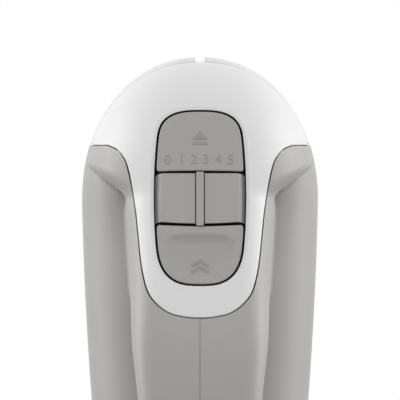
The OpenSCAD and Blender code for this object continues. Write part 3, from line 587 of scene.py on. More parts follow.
def darkLining(piece):
    # the window's own walls, from below its rim, painted black: painted shade down in the window's gaps
    middle, facing = faceTable(piece)
    local = middle - [0, panelY, panelZ]
    flat = np.stack([local[:, 0], local @ upSlope], 1)
    across = facing[:, 0] * -flat[:, 0] + (facing @ upSlope) * (1 - flat[:, 1])
    inside = (np.abs(flat[:, 0]) < window["half"] + 0.1) & (np.abs(flat[:, 1] - 0.7) < 35)
    top = (onFace(flat, 0) - [0, panelY, panelZ]) @ outward
    dark = inside & (across > 0.3 * np.linalg.norm(flat - [0, 1], axis=1)) & (top - local @ outward > 0.5)
    return darken(piece, dark)


def darkWalls(piece):
    # a key's walls down in the gaps, which stand square to the slope, painted black: painted shade in the
    # gaps
    return darken(piece, np.abs(faceTable(piece)[1] @ outward) < 0.25)


# skins with their exact directions
def skinDepth(section, points):
    # distance outside a section's skin, near it, and the way out
    step = 0.02
    base = skinValue(section, points)
    slope = np.stack([(skinValue(section, points + axis * step) - base) / step for axis in np.eye(3)], 1)
    size = np.maximum(np.linalg.norm(slope, axis=1, keepdims=True), 1e-6)
    return base / size[:, 0], slope / size


def levelShare(way):
    # how far a skin faces sideways, so that a steep step along Z doesn't count as near
    return np.maximum(np.hypot(way[:, 0], way[:, 1]), 0.05)


fusing = {"soft": 1.3, "reach": 1.3, "deep": 0.9}


def fusedDepth(points):
    # the same for body and handle joined, with a fillet where they meet
    soft, reach, deep = fusing["soft"], fusing["reach"], fusing["deep"]
    (body, bodyWay), (handle, handleWay) = skinDepth(bodySection, points), skinDepth(coverSection, points)
    flatBody, flatHandle = body / levelShare(bodyWay), handle / levelShare(handleWay)
    h = np.clip(0.5 + 0.5 * (flatHandle - flatBody) / soft, 0, 1)
    way = bodyWay * h[:, None] + handleWay * (1 - h[:, None])
    depth = handle * (1 - h) + body * h - soft * h * (1 - h)
    # the shoulders are undercut a little
    under = glide(points[:, 2], noseZ - 6, noseZ + 4) * glide(-points[:, 2], -noseZ - 14, -noseZ - 8)
    depth = depth + deep * under * np.exp(-((flatHandle - flatBody) / reach) ** 2)
    return depth, unit(way)


def fusedSlope(points):
    # the fused skin's depth with its own slope
    base = fusedDepth(points)[0]
    return base, unit(np.stack([fusedDepth(points + axis * 0.05)[0] - base for axis in np.eye(3)], 1))


def moveVertices(piece, points):
    piece.data.vertices.foreach_set("co", (points * mm).astype(np.float32).ravel())
    piece.data.update()
    return piece


def trueShade(piece, depthOf):
    # smooth shading, with the skin's own direction where a corner lies on it
    close, turned = 0.03, math.cos(math.radians(24))
    smooth(piece, 35)
    mesh = piece.data
    depth, way = depthOf(vertexTable(piece))
    normals = listed(mesh.corner_normals, "vector")
    corner = listed(mesh.loops, "vertex_index", 1, np.int32)
    faces = np.repeat(listed(mesh.polygons, "normal"), listed(mesh.polygons, "loop_total", 1, np.int32), 0)
    on = (np.abs(depth[corner]) < close) & (np.sum(way[corner] * faces, 1) > turned)
    normals[on] = way[corner][on]
    mesh.normals_split_custom_set(normals.tolist())
    return piece


def rimSide(section, edge, inner):
    # along the skin, square to its edge and away from inner
    side = unit(np.cross(np.roll(edge, -1, 0) - np.roll(edge, 1, 0), skinNormal(section, edge)))
    return side * np.sign(np.sum(side * (edge - inner), 1, keepdims=True))


def rolled(edge, side, normal, r, degrees):
    # rounds an edge over, from its face down to its side
    return [edge - side * r * (1 - math.sin(t)) - normal * r * (1 - math.cos(t))
            for t in np.radians(degrees)]


# outlines in a plane
def stadium(x, y, halfX, halfY, r, per=12):
    # rounded bar from its middle, its straight half lengths and its end radius
    a = np.radians(np.arange(4 * per) * 90 / per)
    quarter = np.stack([np.cos(a) * r, np.sin(a) * r], 1)
    return quarter + np.stack([x + halfX * np.sign(np.round(np.cos(a + 0.01), 6)),
                               y + halfY * np.sign(np.round(np.sin(a + 0.01), 6))], 1)


def rounded(points, radii, per=7):
    # outline with its corners rounded by a curve
    points, out = np.array(points, float), []
    for i, r in enumerate(np.broadcast_to(radii, len(points))):
        before, here, after = points[i - 1], points[i], points[(i + 1) % len(points)]
        if r <= 0:
            out.append(here)
            continue
        a = here + (before - here) / np.linalg.norm(before - here) * r
        b = here + (after - here) / np.linalg.norm(after - here) * r
        out += [a * (1 - u) ** 2 + here * 2 * u * (1 - u) + b * u * u for u in np.linspace(0, 1, per)]
    return np.array(out)


def prism(outline, low, high, place=None):
    piece = skin("prism", [np.column_stack([outline, np.full(len(outline), float(h))]) for h in (low, high)])
    if place is not None:
        piece.data.transform(place)
    return piece


def padded(name, outline, levels):
    # closed stack of one outline, with an inset and a height for each level
    return skin(name, [np.column_stack([grown(outline, -inset), np.full(len(outline), float(h))])
                       for inset, h in levels])


facingX = Matrix.Rotation(math.pi / 2, 4, "Y")
facingY = Matrix.Rotation(-math.pi / 2, 4, "X")


# the pale band round the nose
noseBand = {"round": 1.45, "lowRound": 0.3, "low": bandZ + casing["gap"],
            "front": partY + casing["gap"], "notch": 3.3, "notchLong": 30, "notchRound": 0.5,
            "shares": (90, 110)}  # points along its back edge and over its dome


def makeBand():
    # a cap over the nose, open towards the cover and the body
    core = np.array([0, noseBand["front"], noseBand["low"]])
    around = np.linspace(0, math.pi / 2, 240)
    flat, cos, sin = 0 * around, np.cos(around), np.sin(around)
    back = fromCore(bodySection, core, np.stack([sin, cos, flat], 1), 90)
    dome = fromCore(bodySection, core, np.stack([cos, flat, sin], 1), 90)
    first, second = noseBand["shares"]
    half = np.vstack([spread(back, first), spread(dome, second), dome[-1:]])
    half[0, 0] = half[-1, 0] = 0
    normal = skinNormal(bodySection, half)
    foot = unit(np.where(np.arange(len(half))[:, None] < first, -normal * [1, 1, 0], -normal * [1, 0, 1]))
    run = glide(np.arange(len(half)), first, first + 16)[:, None]
    r = noseBand["lowRound"] + (noseBand["round"] - noseBand["lowRound"]) * run
    edge, foot = mirrored(half), mirrored(foot)
    r = np.vstack([r, r[-2:0:-1]])
    pole = fromCore(bodySection, core, np.array([[0, 0.7, 0.714]]), 90)[0]
    between = sheetOf(bodySection, core, pole, edge)
    normal, side = skinNormal(bodySection, edge), rimSide(bodySection, edge, pole)
    rings = [between(t) for t in np.linspace(0.012, 0.945, 34)]
    rings += rolled(edge, side, normal, r, [0, 15, 30, 45, 60, 75, 90])
    rings.append(edge - normal * r + foot * (casing["wall"] - r))
    rings += lined(bodySection, [between(t) for t in np.linspace(0.05, 0.93, 16)[::-1]])
    piece = skin("noseBand", rings)
    half, long, r = noseBand["notch"] / 2, noseBand["notchLong"], noseBand["notchRound"]
    outline = rounded([(-half, 0), (half, 0), (half, 20), (-half, 20)], [r, r, 0, 0])
    cut(piece, prism(outline, 0, long, upright(partY + long - 1, coverTop)))
    return trueShade(piece, lambda p: skinDepth(bodySection, p))


# the two grey halves of the body
housing = {
    "top": noseZ + 24.0,
    "voxel": 0.95,
    "draw": 0.4,  # the most that one pass moves the skin
    "screws": [(20, 13), (21, noseZ + 9), (-50, 12), (-50, 116)],  # y and z of each
    "counterbore": 3.0,
    "holes": 11.95,
    "inlet": 24.0,
    "inletHole": 6.1,
    "seam": 0.45,
    "seamDepth": 0.25,
    "slot": 1.3,
    "sideSlots": {"first": 26, "step": 5, "count": 6, "half": 9},
    "frontSlots": {"z": noseZ - 47, "step": 6, "each": 3, "half": 5},
}
# width, depth and y of each foot
pads = {"sizes": [(36.0, 20.0, -4.0), (23.4, 16.4, -60.0)], "corner": 4.0, "height": 2.2}


def padOutline(width, depth, y, grow=0.0):
    return stadium(0, y, width / 2 - pads["corner"], depth / 2 - pads["corner"], pads["corner"] + grow)


def coverZone(gap):
    # what the cover takes out of the housings: its outline, in front of the slope
    half = np.vstack([flowing(edgeLine), [(60, 20), (60, 80)]]) + [0, noseZ]
    outline = grown(np.vstack([half, (half * [-1, 1])[::-1][:-1]]), gap)
    whole = prism(outline, 0, 120, upright(partY - gap, 0))
    under = block((-70, -200, -1), (70, 200, noseZ + 17.9))
    under = cut(under, toSlope(block((-90, -200, -8), (90, 200, 90))))
    return cut(whole, under)


def makeHousings():
    # body and handle are fused as one solid, drawn onto the fused skin and then hollowed
    top = housing["top"]
    shell = loft("housing", bodySection, top)
    combine(shell, loft("handle", coverSection, top), "UNION")
    modify(shell, "REMESH", mode="VOXEL", voxel_size=housing["voxel"] * mm, adaptivity=0)
    points = vertexTable(shell)
    for _ in range(4):
        depth, way = fusedDepth(points)
        points = points - way * np.clip(depth, -housing["draw"], housing["draw"])[:, None]
        points[:, 2] = np.maximum(points[:, 2], casing["heel"])
    flat = vertexTable(shell)[:, 2] > top - 1.2
    points[flat] = vertexTable(shell)[flat]
    moveVertices(shell, points)
    wall, gap, line = casing["wall"], casing["gap"], casing["line"]
    for section in (bodySection, coverSection):
        cut(shell, loft("hollow", section, top + 4, wall, 140, 2.5, wall + casing["heel"]))
    cut(shell, coverZone(line), block((-80, partY - line, bandZ - line), (80, 80, 220)))
    slots = housing["sideSlots"]
    for i in range(slots["count"]):
        place = Matrix.Translation((0, 0, (slots["first"] + slots["step"] * i) * mm)) @ facingX
        cut(shell, prism(stadium(0, 0, 0, slots["half"], housing["slot"], 5), -60, 60, place))
    slots = housing["frontSlots"]
    place = Matrix.Translation((0, 0, slots["z"] * mm)) @ facingY
    for i in range(-slots["each"], slots["each"] + 1):
        cut(shell, prism(stadium(slots["step"] * i, 0, 0, slots["half"], housing["slot"], 5), 0, 60, place))
    for x in (-gearX, gearX):
        cut(shell, rod((x, 0, gearZ), (x, 60, gearZ), housing["holes"], 96))
    cut(shell, rod((0, 0, housing["inlet"]), (0, 60, housing["inlet"]), housing["inletHole"], 64))
    for y, z in housing["screws"]:
        cut(shell, rod((8.2, y, z), (80, y, z), housing["counterbore"], 40))
    for size in pads["sizes"]:
        cut(shell, prism(padOutline(*size, 0.1), -2, pads["height"] + 0.1))
    groove = block((-housing["seam"] / 2, -160, -5), (housing["seam"] / 2, 100, 200))
    for section in (bodySection, coverSection):
        cut(groove, loft("core", section, top + 2, housing["seamDepth"], 140, 2))
    cut(shell, groove)
    halves = []
    for name, low, high in (("housingLeft", gap / 2, 100), ("housingRight", -100, -gap / 2)):
        halfShell = twin(shell, name)
        cut(halfShell, block((low, -200, -10), (high, 200, 220)))
        halves.append(trueShade(halfShell, fusedSlope))
    bpy.data.objects.remove(shell, do_unlink=True)
    return halves


# the keys, on the cover's own face
keys = {
    "round": 0.5,
    "drop": window["drop"],
    "thick": window["cap"],
    "ease": 0.16,
    "dish": 1.6,
    "dishAt": (0, -17.6),
    "dishSize": (13.6, 4.0, 12.0),  # half width, and its reach above and below
    "markUp": 0.2,
    "markDeep": 0.3,
    "plateHalf": 9,
    "plateThick": 2.4,
    "ejectStem": {"at": 22, "foot": -14.5, "top": -1.5, "radius": 3.2, "plate": (-8.5, -1.9)},
    "turboStem": {"at": -22, "foot": -9, "top": -1.9, "radius": 3, "plate": (-6, -2.3)},
}


def bowLine(x, shift):
    # the slider's lower edge across the window
    bow = window["bow"]
    return window["cutLow"] + bow - np.sqrt((bow + shift) ** 2 - np.asarray(x, float) ** 2)


def dishDepth(flat):
    # steep at its upper edge, gentle below
    (x, s), (across, above, below) = keys["dishAt"], keys["dishSize"]
    v = (flat[:, 1] - s) / np.where(flat[:, 1] > s, above, below)
    return keys["dish"] * np.clip(1 - ((flat[:, 0] - x) / across) ** 4 - v**2, 0, 1) ** 1.5


def keyOutline(low, high):
    # the window's own outline inside low and high, which are lines across it
    even = spread(windowSide(), 900, True)
    side = grown(np.vstack([even, (even * [-1, 1])[::-1][1:-1]]), -window["gap"] - keys["ease"])
    right = side[side[:, 0] >= -1e-6]
    right = right[np.argsort(right[:, 1])]
    right = right[(right[:, 1] > low(right[:, 0])) & (right[:, 1] < high(right[:, 0]))]
    ends = []
    for limit, corner in ((low, right[0]), (high, right[-1])):
        x = np.linspace(corner[0], 0, 30)
        ends.append(np.stack([x, limit(x)], 1) if abs(limit(corner[0]) - corner[1]) < 1 else None)
    half = right
    if ends[0] is not None:
        half = np.vstack([ends[0][::-1][:-1], half])
    if ends[1] is not None:
        half = np.vstack([half, ends[1][1:]])
    whole = np.vstack([half, (half * [-1, 1])[::-1]])
    whole = whole[np.r_[True, np.linalg.norm(np.diff(whole, axis=0), axis=1) > 0.02]]
    return soften(whole)


def soften(outline, count=300, passes=14):
    # even points with sharp corners eased
    even = spread(np.vstack([outline, outline[:1]]), count)
    for _ in range(passes):
        even = even * 0.5 + (np.roll(even, 1, 0) + np.roll(even, -1, 0)) * 0.25
    return even


def makeKey(name, outline, dish=False):
    # from the middle of its back round its edge to the middle of its face
    r, drop, thick = keys["round"], keys["drop"], keys["thick"]
    middle = np.array([0, (outline[:, 1].min() + outline[:, 1].max()) / 2])

    def level(inset, shrink, depth):
        flat = grown(outline, -inset)
        flat = middle + (flat - middle) * shrink
        return onFace(flat, -drop - depth - (dishDepth(flat) if dish else 0))

    back = [(1.6, 0.05, thick), (1.6, 0.6, thick), (0.1, 1, thick), (0, 1, thick - 0.1)]
    rings = [level(*values) for values in back]
    rings += [level(r * (1 - math.cos(a)), 1, r * (1 - math.sin(a)))
              for a in np.radians([0, 18, 36, 54, 72, 90])]
    rings += [level(r + 0.25, u, 0) for u in [1, *np.linspace(0.95, 0.03, 20)]]
    return skin(name, rings)


def laid(piece, dish=False):
    # bends a flat piece drawn across and up the slope onto the key's face
    points = vertexTable(piece)
    flat = points[:, :2]
    under = dishDepth(flat) if dish else 0
    return moveVertices(piece, onFace(flat, points[:, 2] - keys["drop"] - under))


def figure(text, x, s, height):
    # a raised digit with its middle at x, s
    deselect()
    bpy.ops.object.text_add(location=(0, 0, 0))
    letter = bpy.context.object
    letter.data.body = text
    letter.data.extrude = 0.05
    letter.data.resolution_u = 6
    letter = settle(letter, "figure")
    points = vertexTable(letter)
    low, high = points.min(0), points.max(0)
    points = (points - (low + high) / 2) * height / (high[1] - low[1])
    points[:, 2] = np.where(points[:, 2] > 0, keys["markUp"], -keys["markDeep"])
    return moveVertices(letter, points + [x, s, 0])


def marks(shapes):
    return [prism(np.array(shape, float), -keys["markDeep"], keys["markUp"]) for shape in shapes]


def backed(key, stem):
    # stem and plate behind a key
    at, (low, high) = stem["at"], stem["plate"]
    half, thick = keys["plateHalf"], keys["plateThick"] / 2
    combine(key, toSlope(rod((0, at, stem["foot"]), (0, at, stem["top"]), stem["radius"])), "UNION")
    combine(key, toSlope(block((-half, at - thick, low), (half, at + thick, high))), "UNION")
    return smooth(key, 40)


def straight(s):
    # line across the window at height s
    return lambda x: s + 0 * x


dial = {"row": 14.9, "height": 3.7, "across": [-11.7, -6.6, -2.15, 2.15, 6.6, 11.0]}
arrow = {"half": 2.7, "bar": (20.6, 21.5), "head": (22.6, 26.0)}
chevron = {"half": 3.4, "foot": 2.5, "drop": 0.75, "inner": 1.2, "outer": 2.7, "at": (-28.4, -25.7)}


def makeEject():
    low = straight(window["cutHigh"] + window["highGap"] / 2)
    key = makeKey("ejectKey", keyOutline(low, straight(99)))
    digits = [figure(str(i), x, dial["row"], dial["height"]) for i, x in enumerate(dial["across"])]
    half, (foot, neck), (base, tip) = arrow["half"], arrow["bar"], arrow["head"]
    symbol = marks([[(-half, base), (half, base), (0, tip)],
                    [(-half, foot), (half, foot), (half, neck), (-half, neck)]])
    relief = [laid(piece) for piece in digits + symbol]
    return backed(key, keys["ejectStem"]), joined("ejectMarks", relief)


def makeTurbo():
    outline = keyOutline(straight(-99), lambda x: bowLine(x, window["lowGap"] / 2))
    key = makeKey("turboKey", outline, True)
    half, foot, drop = chevron["half"], chevron["foot"], chevron["drop"]
    bars = [[(-half, s), (-foot, s - drop), (0, s + chevron["inner"]), (foot, s - drop), (half, s),
             (0, s + chevron["outer"])] for s in chevron["at"]]
    relief = [laid(piece, dish=True) for piece in marks(bars)]
    return backed(key, keys["turboStem"]), joined("turboMarks", relief)


slider = {
    "travel": 11.2,
    "rib": 3.5,
    "ribHeight": 0.5,
    "ribFoot": 0.04,
    "grooveAt": 1.48,
    "groove": 0.26,
    "lineDeep": 0.22,
    "roll": 4.0,
    "bendWide": 4.0,
    "bendDeep": 8.0,
    "leg": 15.0,
    "thick": 1.2,
    "edge": 0.3,
    "lip": 2.8,
    "lipHalf": 14.6,
}


def makeSliderBand():
    # the slider's face, bent down into the gaps at both ends
    drop, roll, thick = window["drop"], slider["roll"], slider["thick"]
    turn = slider["travel"] + slider["rib"] / 2
    wide, deep = slider["bendWide"], slider["bendDeep"]
    path = [(turn + roll, n, 1.0, 0.0) for n in np.linspace(-slider["leg"], -drop - deep, 8)[:-1]]
    for a in np.linspace(0, math.pi / 2, 20):
        out = Vector((math.cos(a) / wide, math.sin(a) / deep)).normalized()
        x, n = turn + roll - wide + wide * math.cos(a), -drop - deep + deep * math.sin(a)
        path.append((x, n, out.x, out.y))
    path += [(x, -drop, 0.0, 1.0) for x in np.linspace(turn + roll - wide, 0, 14)[1:]]
    path += [(-x, n, -a, b) for x, n, a, b in path[-2::-1]]
    high, r = window["cutHigh"] - window["highGap"] / 2, slider["edge"]
    rings = []
    for x, n, a, b in path:
        low = float(bowLine(x, -window["lowGap"] / 2))
        ring = rounded([(low, -thick), (low, 0), (high, 0), (high, -thick)], [0.1, r, r, 0.1], 5)
        s, k = ring[:, 0], ring[:, 1]
        rings.append(slopePoint(x + a * k, s, n + b * k))
    # a lip behind the lower gap keeps the rail out of sight
    x = np.linspace(-slider["lipHalf"], slider["lipHalf"], 30)
    edge = np.stack([x, bowLine(x, -window["lowGap"] / 2) + 0.12], 1)
    outline = np.vstack([edge, edge[::-1] + [0, 1.0]])
    lip = toSlope(prism(outline, -drop - thick - slider["lip"], 0.1 - drop - thick))
    return smooth(joined("sliderBand", [skin("band", rings), lip]), 40)


def makeRib():
    half, r = slider["rib"] / 2, 0.16
    low, high = window["cutLow"] - 0.55, window["cutHigh"] - 0.1
    corners = [(-half, low), (half, low), (half, high), (-half, high)]
    outline = soften(rounded(corners, [1.1, 1.1, 0.5, 0.5]), 160, 3)
    base = -window["drop"] + slider["ribFoot"]
    top = base + slider["ribHeight"]
    levels = [(0.05, base), (0, base + 0.1)]
    levels += [(r * (1 - math.cos(a)), top - r + r * math.sin(a)) for a in np.radians([0, 22, 45, 68, 90])]
    piece = padded("speedRib", outline, levels)
    at, wide = slider["grooveAt"], slider["groove"] / 2
    for side in (-1, 1):
        for near, far, foot in ((at - wide, at + wide, base + 0.08), (at, 3, base + 0.16)):
            left, right = sorted((side * near, side * far))
            cut(piece, block((left, low - 1, foot), (right, high + 1, 5)))
    return smooth(toSlope(piece), 50)


# underside and small fittings
def makePads():
    levels = [(1.2, 0.25), (1.0, 0.08), (0.6, 0), (0.25, 0.1), (0.06, 0.32), (0, 0.6), (0, pads["height"])]
    pieces = [padded("pad", padOutline(*size), levels) for size in pads["sizes"]]
    return smooth(joined("heelPads", pieces), 40)


def makeScrews():
    head = spun("screw", [(1.35, -7), (1.7, -6.4), (1.7, 8.2), (2.8, 8.2), (2.8, 8.9), (2.72, 9.3),
                          (2.5, 9.7), (2.1, 10.0), (1.2, 10.18), (0.02, 10.2)], 40)
    for turn in (0, math.pi / 2):
        bar = block((-1.7, -0.36, 9.2), (1.7, 0.36, 12))
        bar.data.transform(Matrix.Rotation(turn, 4, "Z"))
        cut(head, bar)
    head.data.transform(facingX)
    screws = [twin(head, "screw", (0, y, z)) for y, z in housing["screws"]]
    bpy.data.objects.remove(head, do_unlink=True)
    return smooth(joined("housingScrews", screws), 30)


inlet = {"inside": 6, "ribs": 3, "first": 17.5, "step": 3.4}


def makeInlet():
    # flange and ribs round the cord's hole
    start = casing["underside"] - casing["wall"] - inlet["inside"]
    profile = [(3.5, 0.3), (3.8, 0), (5.7, 0), (6, 0.3), (6, 2), (7.3, 2), (7.6, 2.3), (7.6, 5.1),
               (7.3, 5.4), (6, 5.4), (6, 16)]
    for i in range(inlet["ribs"]):
        low = inlet["first"] + inlet["step"] * i
        wide, narrow = 6 - (low - 16) * 0.1, 6 - (low - 14.6) * 0.1
        profile += [(wide + 0.02, low - 0.3), (wide - 0.25, low), (4.1, low + 0.15), (4.1, low + 1.25),
                    (narrow - 0.25, low + 1.4), (narrow, low + 1.7)]
    profile += [(4.86, 27.4), (4.7, 27.85), (4.4, 28), (3.8, 28), (3.5, 27.7)]
    return smooth(alongY(spun("cordInlet", profile, 72, True), 0, housing["inlet"], start), 35)


def makeCollar(name, x):
    profile = [(6.0, 0.3), (6.3, 0), (8.5, 0), (8.8, 0.3), (8.8, 5), (11.0, 5.0), (11.19, 5.15),
               (11.1, 5.6), (10.1, 8.4), (9.75, 8.95), (9.2, 9.2), (6.8, 9.2), (6.35, 9.05), (6.0, 8.6)]
    return smooth(alongY(spun(name, profile, 96, True), x, gearZ, casing["underside"] - 8.6), 32)


beater = {
    "shaft": 4.0,
    "start": 3.35,
    "lug": 33.4,
    "lugOut": 4.88,
    "lugThick": 0.88,
    "hub": 96.0,
    "cage": 88.0,
    "radius": 20.5,
    "bend": 14.0,
    "foot": 5.5,
    "root": 5.6,
    "wide": 1.0,
    "thick": 0.72,
    "arms": 4,
}


def makeShaft(name, x):
    r, start, end = beater["shaft"], beater["start"], beater["hub"] + 2.8
    piece = spun(name, [(2.2, 0), (3.1, 0.12), (3.5, 0.5), (r, 1.5), (r, 46), (r, end - start)], 64)
    alongY(piece, x, gearZ, start)
    near, far, out = beater["lug"] - 8, beater["lug"] - 2, beater["lugOut"]
    for side in (-1, 1):
        lug = rounded([(0, near), (side * out, near), (side * out, far), (0, far)], [0, 0.8, 0.8, 0])
        if side < 0:
            lug = lug[::-1]
        lug = prism(lug + [x, 0], gearZ - beater["lugThick"], gearZ + beater["lugThick"])
        combine(piece, lug, "UNION")
    return smooth(piece, 30)


def makeHub(name, x):
    r = beater["shaft"] - 0.02

    def raised(profile, height):
        return [(radius, height + h) for radius, h in profile]

    ring = spun("ring", raised([(r, 0.2), (r + 0.2, 0), (6.1, 0), (6.4, 0.3), (6.4, 2.7), (6.1, 3),
                                (r + 0.2, 3), (r, 2.8)], casing["underside"] + 6), 72, True)
    boss = spun("boss", raised([(0.02, 3.9), (r, 3.9), (r, 3), (5.0, 3), (5.3, 3.15), (5.4, 3.5),
                                (5.4, 7.2), (5.2, 7.75), (4.7, 8), (0.02, 8)], beater["hub"]), 72)
    tip = spun("tip", raised([(0.02, 0), (4.6, 0), (4.9, 0.15), (5, 0.5), (4.85, 1.6), (4.2, 2.5),
                              (2.6, 2.93), (0.02, 3)], beater["hub"] + beater["cage"]), 72)
    return smooth(alongY(joined(name, [ring, boss, tip]), x, gearZ), 32)


def makeWires(name, x, turn):
    # each arm's path: radius, height and the way it faces
    bend, radius, root = beater["bend"], beater["radius"], beater["root"]
    length = beater["cage"] - beater["foot"]

    def quarter(height, start):
        return [(radius - bend + bend * math.cos(a), height + bend * math.sin(a), math.cos(a), math.sin(a))
                for a in np.linspace(start, start + math.pi / 2, 20)]

    path = [(root - 0.8, 0, 0, -1), (root, 0, 0, -1)] + quarter(bend, -math.pi / 2)
    path += [(radius, bend + (length - 2 * bend) * i / 12, 1, 0) for i in range(1, 12)]
    path += quarter(length - bend, 0) + [(root, length, 0, 1), (root - 1, length, 0, 1)]
    a = np.radians(np.arange(20) * 18)
    across = beater["wide"] * power(np.cos(a), 0.62)
    out = beater["thick"] * power(np.sin(a), 0.62)
    rings = [np.stack([r + nr * out, across, h + nh * out], 1) for r, h, nr, nh in path]
    arm = skin("arm", rings)
    arms = []
    for i in range(beater["arms"]):
        copy = twin(arm, "arm")
        copy.data.transform(Matrix.Rotation(math.radians(turn + 360 / beater["arms"] * i), 4, "Z"))
        arms.append(copy)
    bpy.data.objects.remove(arm, do_unlink=True)
    return smooth(alongY(joined(name, arms), x, gearZ, beater["hub"] + beater["foot"]), 40)


# springs under the keys
springs = {
    "end": 0.8,
    "closed": 0.84,
    "eject": (2.9, 0.4, 4.5),  # radius, wire and turns
    "apart": 9.5,
    "turbo": (4.4, 0.4, 4.0),
    "turboAt": -22.0,
    "turboFoot": -14.2,
    "turboLong": 8.1,
}
pressed = {"eject": 4.7, "turbo": 2.5}


def makeCoil(name, radius, wire, turns, length):
    # round wire standing on Z, its end turns closed up
    end, closed = springs["end"], springs["closed"]
    open_ = (length - 2 * wire - 2 * end * closed) / turns
    t = np.linspace(0, turns + 2 * end, 200)
    height = wire + np.interp(t, [0, end, end + turns, turns + 2 * end],
                              np.cumsum([0, end * closed, turns * open_, end * closed]))
    a = np.radians(np.arange(10) * 36)
    out, up = radius + wire * np.cos(a), wire * np.sin(a)
    return skin(name, [np.stack([out * math.cos(u), out * math.sin(u), h + up], 1)
                       for u, h in zip(2 * math.pi * t, height)])


def makeEjectSprings():
    low, high = (corner[1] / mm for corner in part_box("eject_springs"))
    coils = [alongY(makeCoil("coil", *springs["eject"], high - low), x, gearZ, low)
             for x in (-springs["apart"], springs["apart"])]
    return smooth(joined("ejectSprings", coils), 40), high, high - low


def makeTurboSpring():
    coil = makeCoil("turboSpring", *springs["turbo"], springs["turboLong"])
    coil.data.transform(Matrix.Translation(Vector((0, springs["turboAt"], springs["turboFoot"])) * mm))
    return smooth(toSlope(coil), 40)


# materials
def paint(piece, slot):
    piece.data.materials.clear()
    piece.data.materials.append(looks[slot])
    return piece


class Signal:
    # a shader value with arithmetic
    def __init__(self, look, socket):
        self.look, self.socket = look, socket

    def maths(self, operation, other, swap=False):
        pair = (other, self) if swap else (self, other)
        return self.look.node("ShaderNodeMath", {"operation": operation}, dict(enumerate(pair)))

    def __add__(self, other):
        return self.maths("ADD", other)

    def __radd__(self, other):
        return self.maths("ADD", other, True)

    def __sub__(self, other):
        return self.maths("SUBTRACT", other)

    def __rsub__(self, other):
        return self.maths("SUBTRACT", other, True)

    def __mul__(self, other):
        return self.maths("MULTIPLY", other)

    def __rmul__(self, other):
        return self.maths("MULTIPLY", other, True)

    def __truediv__(self, other):
        return self.maths("DIVIDE", other)

    def __rtruediv__(self, other):
        return self.maths("DIVIDE", other, True)

    def __pow__(self, other):
        return self.maths("POWER", other)

    def __rpow__(self, other):
        return self.maths("POWER", other, True)

    def between(self, low, high):
        settings = {"interpolation_type": "SMOOTHSTEP"}
        return self.look.node("ShaderNodeMapRange", settings, {0: self, 1: low, 2: high})


class Graph:
    # a node tree whose nodes are all made by one method
    def __init__(self, owner):
        owner.use_nodes = True
        self.tree = owner.node_tree

    def node(self, kind, settings, inputs, output=0):
        made = self.tree.nodes.new(kind)
        for key, value in settings.items():
            setattr(made, key, value)
        for key, value in inputs.items():
            if isinstance(value, Signal):
                self.tree.links.new(value.socket, made.inputs[key])
            else:
                made.inputs[key].default_value = value
        return Signal(self, made.outputs[output] if made.outputs else None)


class Look(Graph):
    # one material: constants go on the shader, signals are fed to it
    def __init__(self, name, **constants):
        self.material = bpy.data.materials.new(name)
        super().__init__(self.material)
        self.shader = self.tree.nodes["Principled BSDF"]
        for key, value in constants.items():
            self.shader.inputs[key.replace("_", " ")].default_value = value

    def place(self, scale=(1, 1, 1)):
        spot = self.node("ShaderNodeTexCoord", {}, {}, "Object")
        return self.node("ShaderNodeMapping", {}, {"Vector": spot, "Scale": scale})

    def noise(self, scale, detail, rough=0.5, stretch=(1, 1, 1)):
        return self.node("ShaderNodeTexNoise", {}, {"Vector": self.place(stretch), "Scale": scale,
                                                    "Detail": detail, "Roughness": rough})

    def cells(self, scale):
        return self.node("ShaderNodeTexVoronoi", {}, {"Vector": self.place(), "Scale": scale})

    def axis(self, name):
        return self.node("ShaderNodeSeparateXYZ", {}, {0: self.place()}, name)

    def mix(self, share, low, high):
        return self.node("ShaderNodeMix", {"data_type": "RGBA"},
                         {"Factor": share, 6: (*low, 1) if isinstance(low, tuple) else low,
                          7: (*high, 1) if isinstance(high, tuple) else high}, 2)

    def bump(self, height, depth):
        # depth in mm
        return self.node("ShaderNodeBump", {}, {"Height": height, "Distance": depth * mm})

    def feed(self, **signals):
        for key, value in signals.items():
            self.tree.links.new(value.socket, self.shader.inputs[key.replace("_", " ")])
        return self.material


def moulded(name, colour, gloss, grain, depth, coat=0.0, shade=0.05):
    # injection moulded plastic: slow cloud, fine eroded grain
    look = Look(name, Coat_Weight=coat, Coat_Roughness=0.12)
    cloud = look.noise(45, 3)
    fine = look.noise(grain, 2, 0.6)
    colours = look.mix(cloud.between(0.3, 0.7), tuple(c * (1 - shade) for c in colour), colour)
    return look.feed(Base_Color=colours, Roughness=gloss + (cloud - 0.5) * 0.1 + (fine - 0.5) * 0.12,
                     Normal=look.bump(fine, depth))


def metal(name, colour, gloss, stretch, depth, scale=900):
    # drawn or ground metal: fine lines along one way, faint stains
    look = Look(name)
    lines = look.noise(scale, 4, 0.6, stretch)
    stain = look.noise(120, 3)
    colours = look.mix(stain.between(0.35, 0.75), colour, tuple(c * 0.86 for c in colour))
    bright = look.mix(lines.between(0.3, 0.8), colours, tuple(min(1, c * 1.08) for c in colour))
    full = (1 - (stain - 0.5) * 0.05).maths("MINIMUM", 1.0)
    rough = gloss + (lines - 0.5) * 0.16 + (stain - 0.5) * 0.1
    return look.feed(Base_Color=bright, Metallic=full, Roughness=rough, Normal=look.bump(lines, depth))


def laminated(name):
    # stacked sheets across the motor's axis
    look = Look(name)
    sheets = look.node("ShaderNodeMath", {"operation": "FRACT"}, {0: look.axis("Z") * 2000})
    edge = sheets.between(0.0, 0.25) * (1 - sheets.between(0.8, 1.0))
    rust = look.noise(260, 4)
    colours = look.mix(edge, (0.09, 0.09, 0.095), (0.33, 0.33, 0.34))
    colours = look.mix(rust.between(0.55, 0.8) * 0.5, colours, (0.24, 0.17, 0.12))
    full = 0.9 - rust.between(0.55, 0.8) * 0.4
    return look.feed(Base_Color=colours, Metallic=full, Roughness=0.42 + rust * 0.2,
                     Normal=look.bump(edge, 0.06))


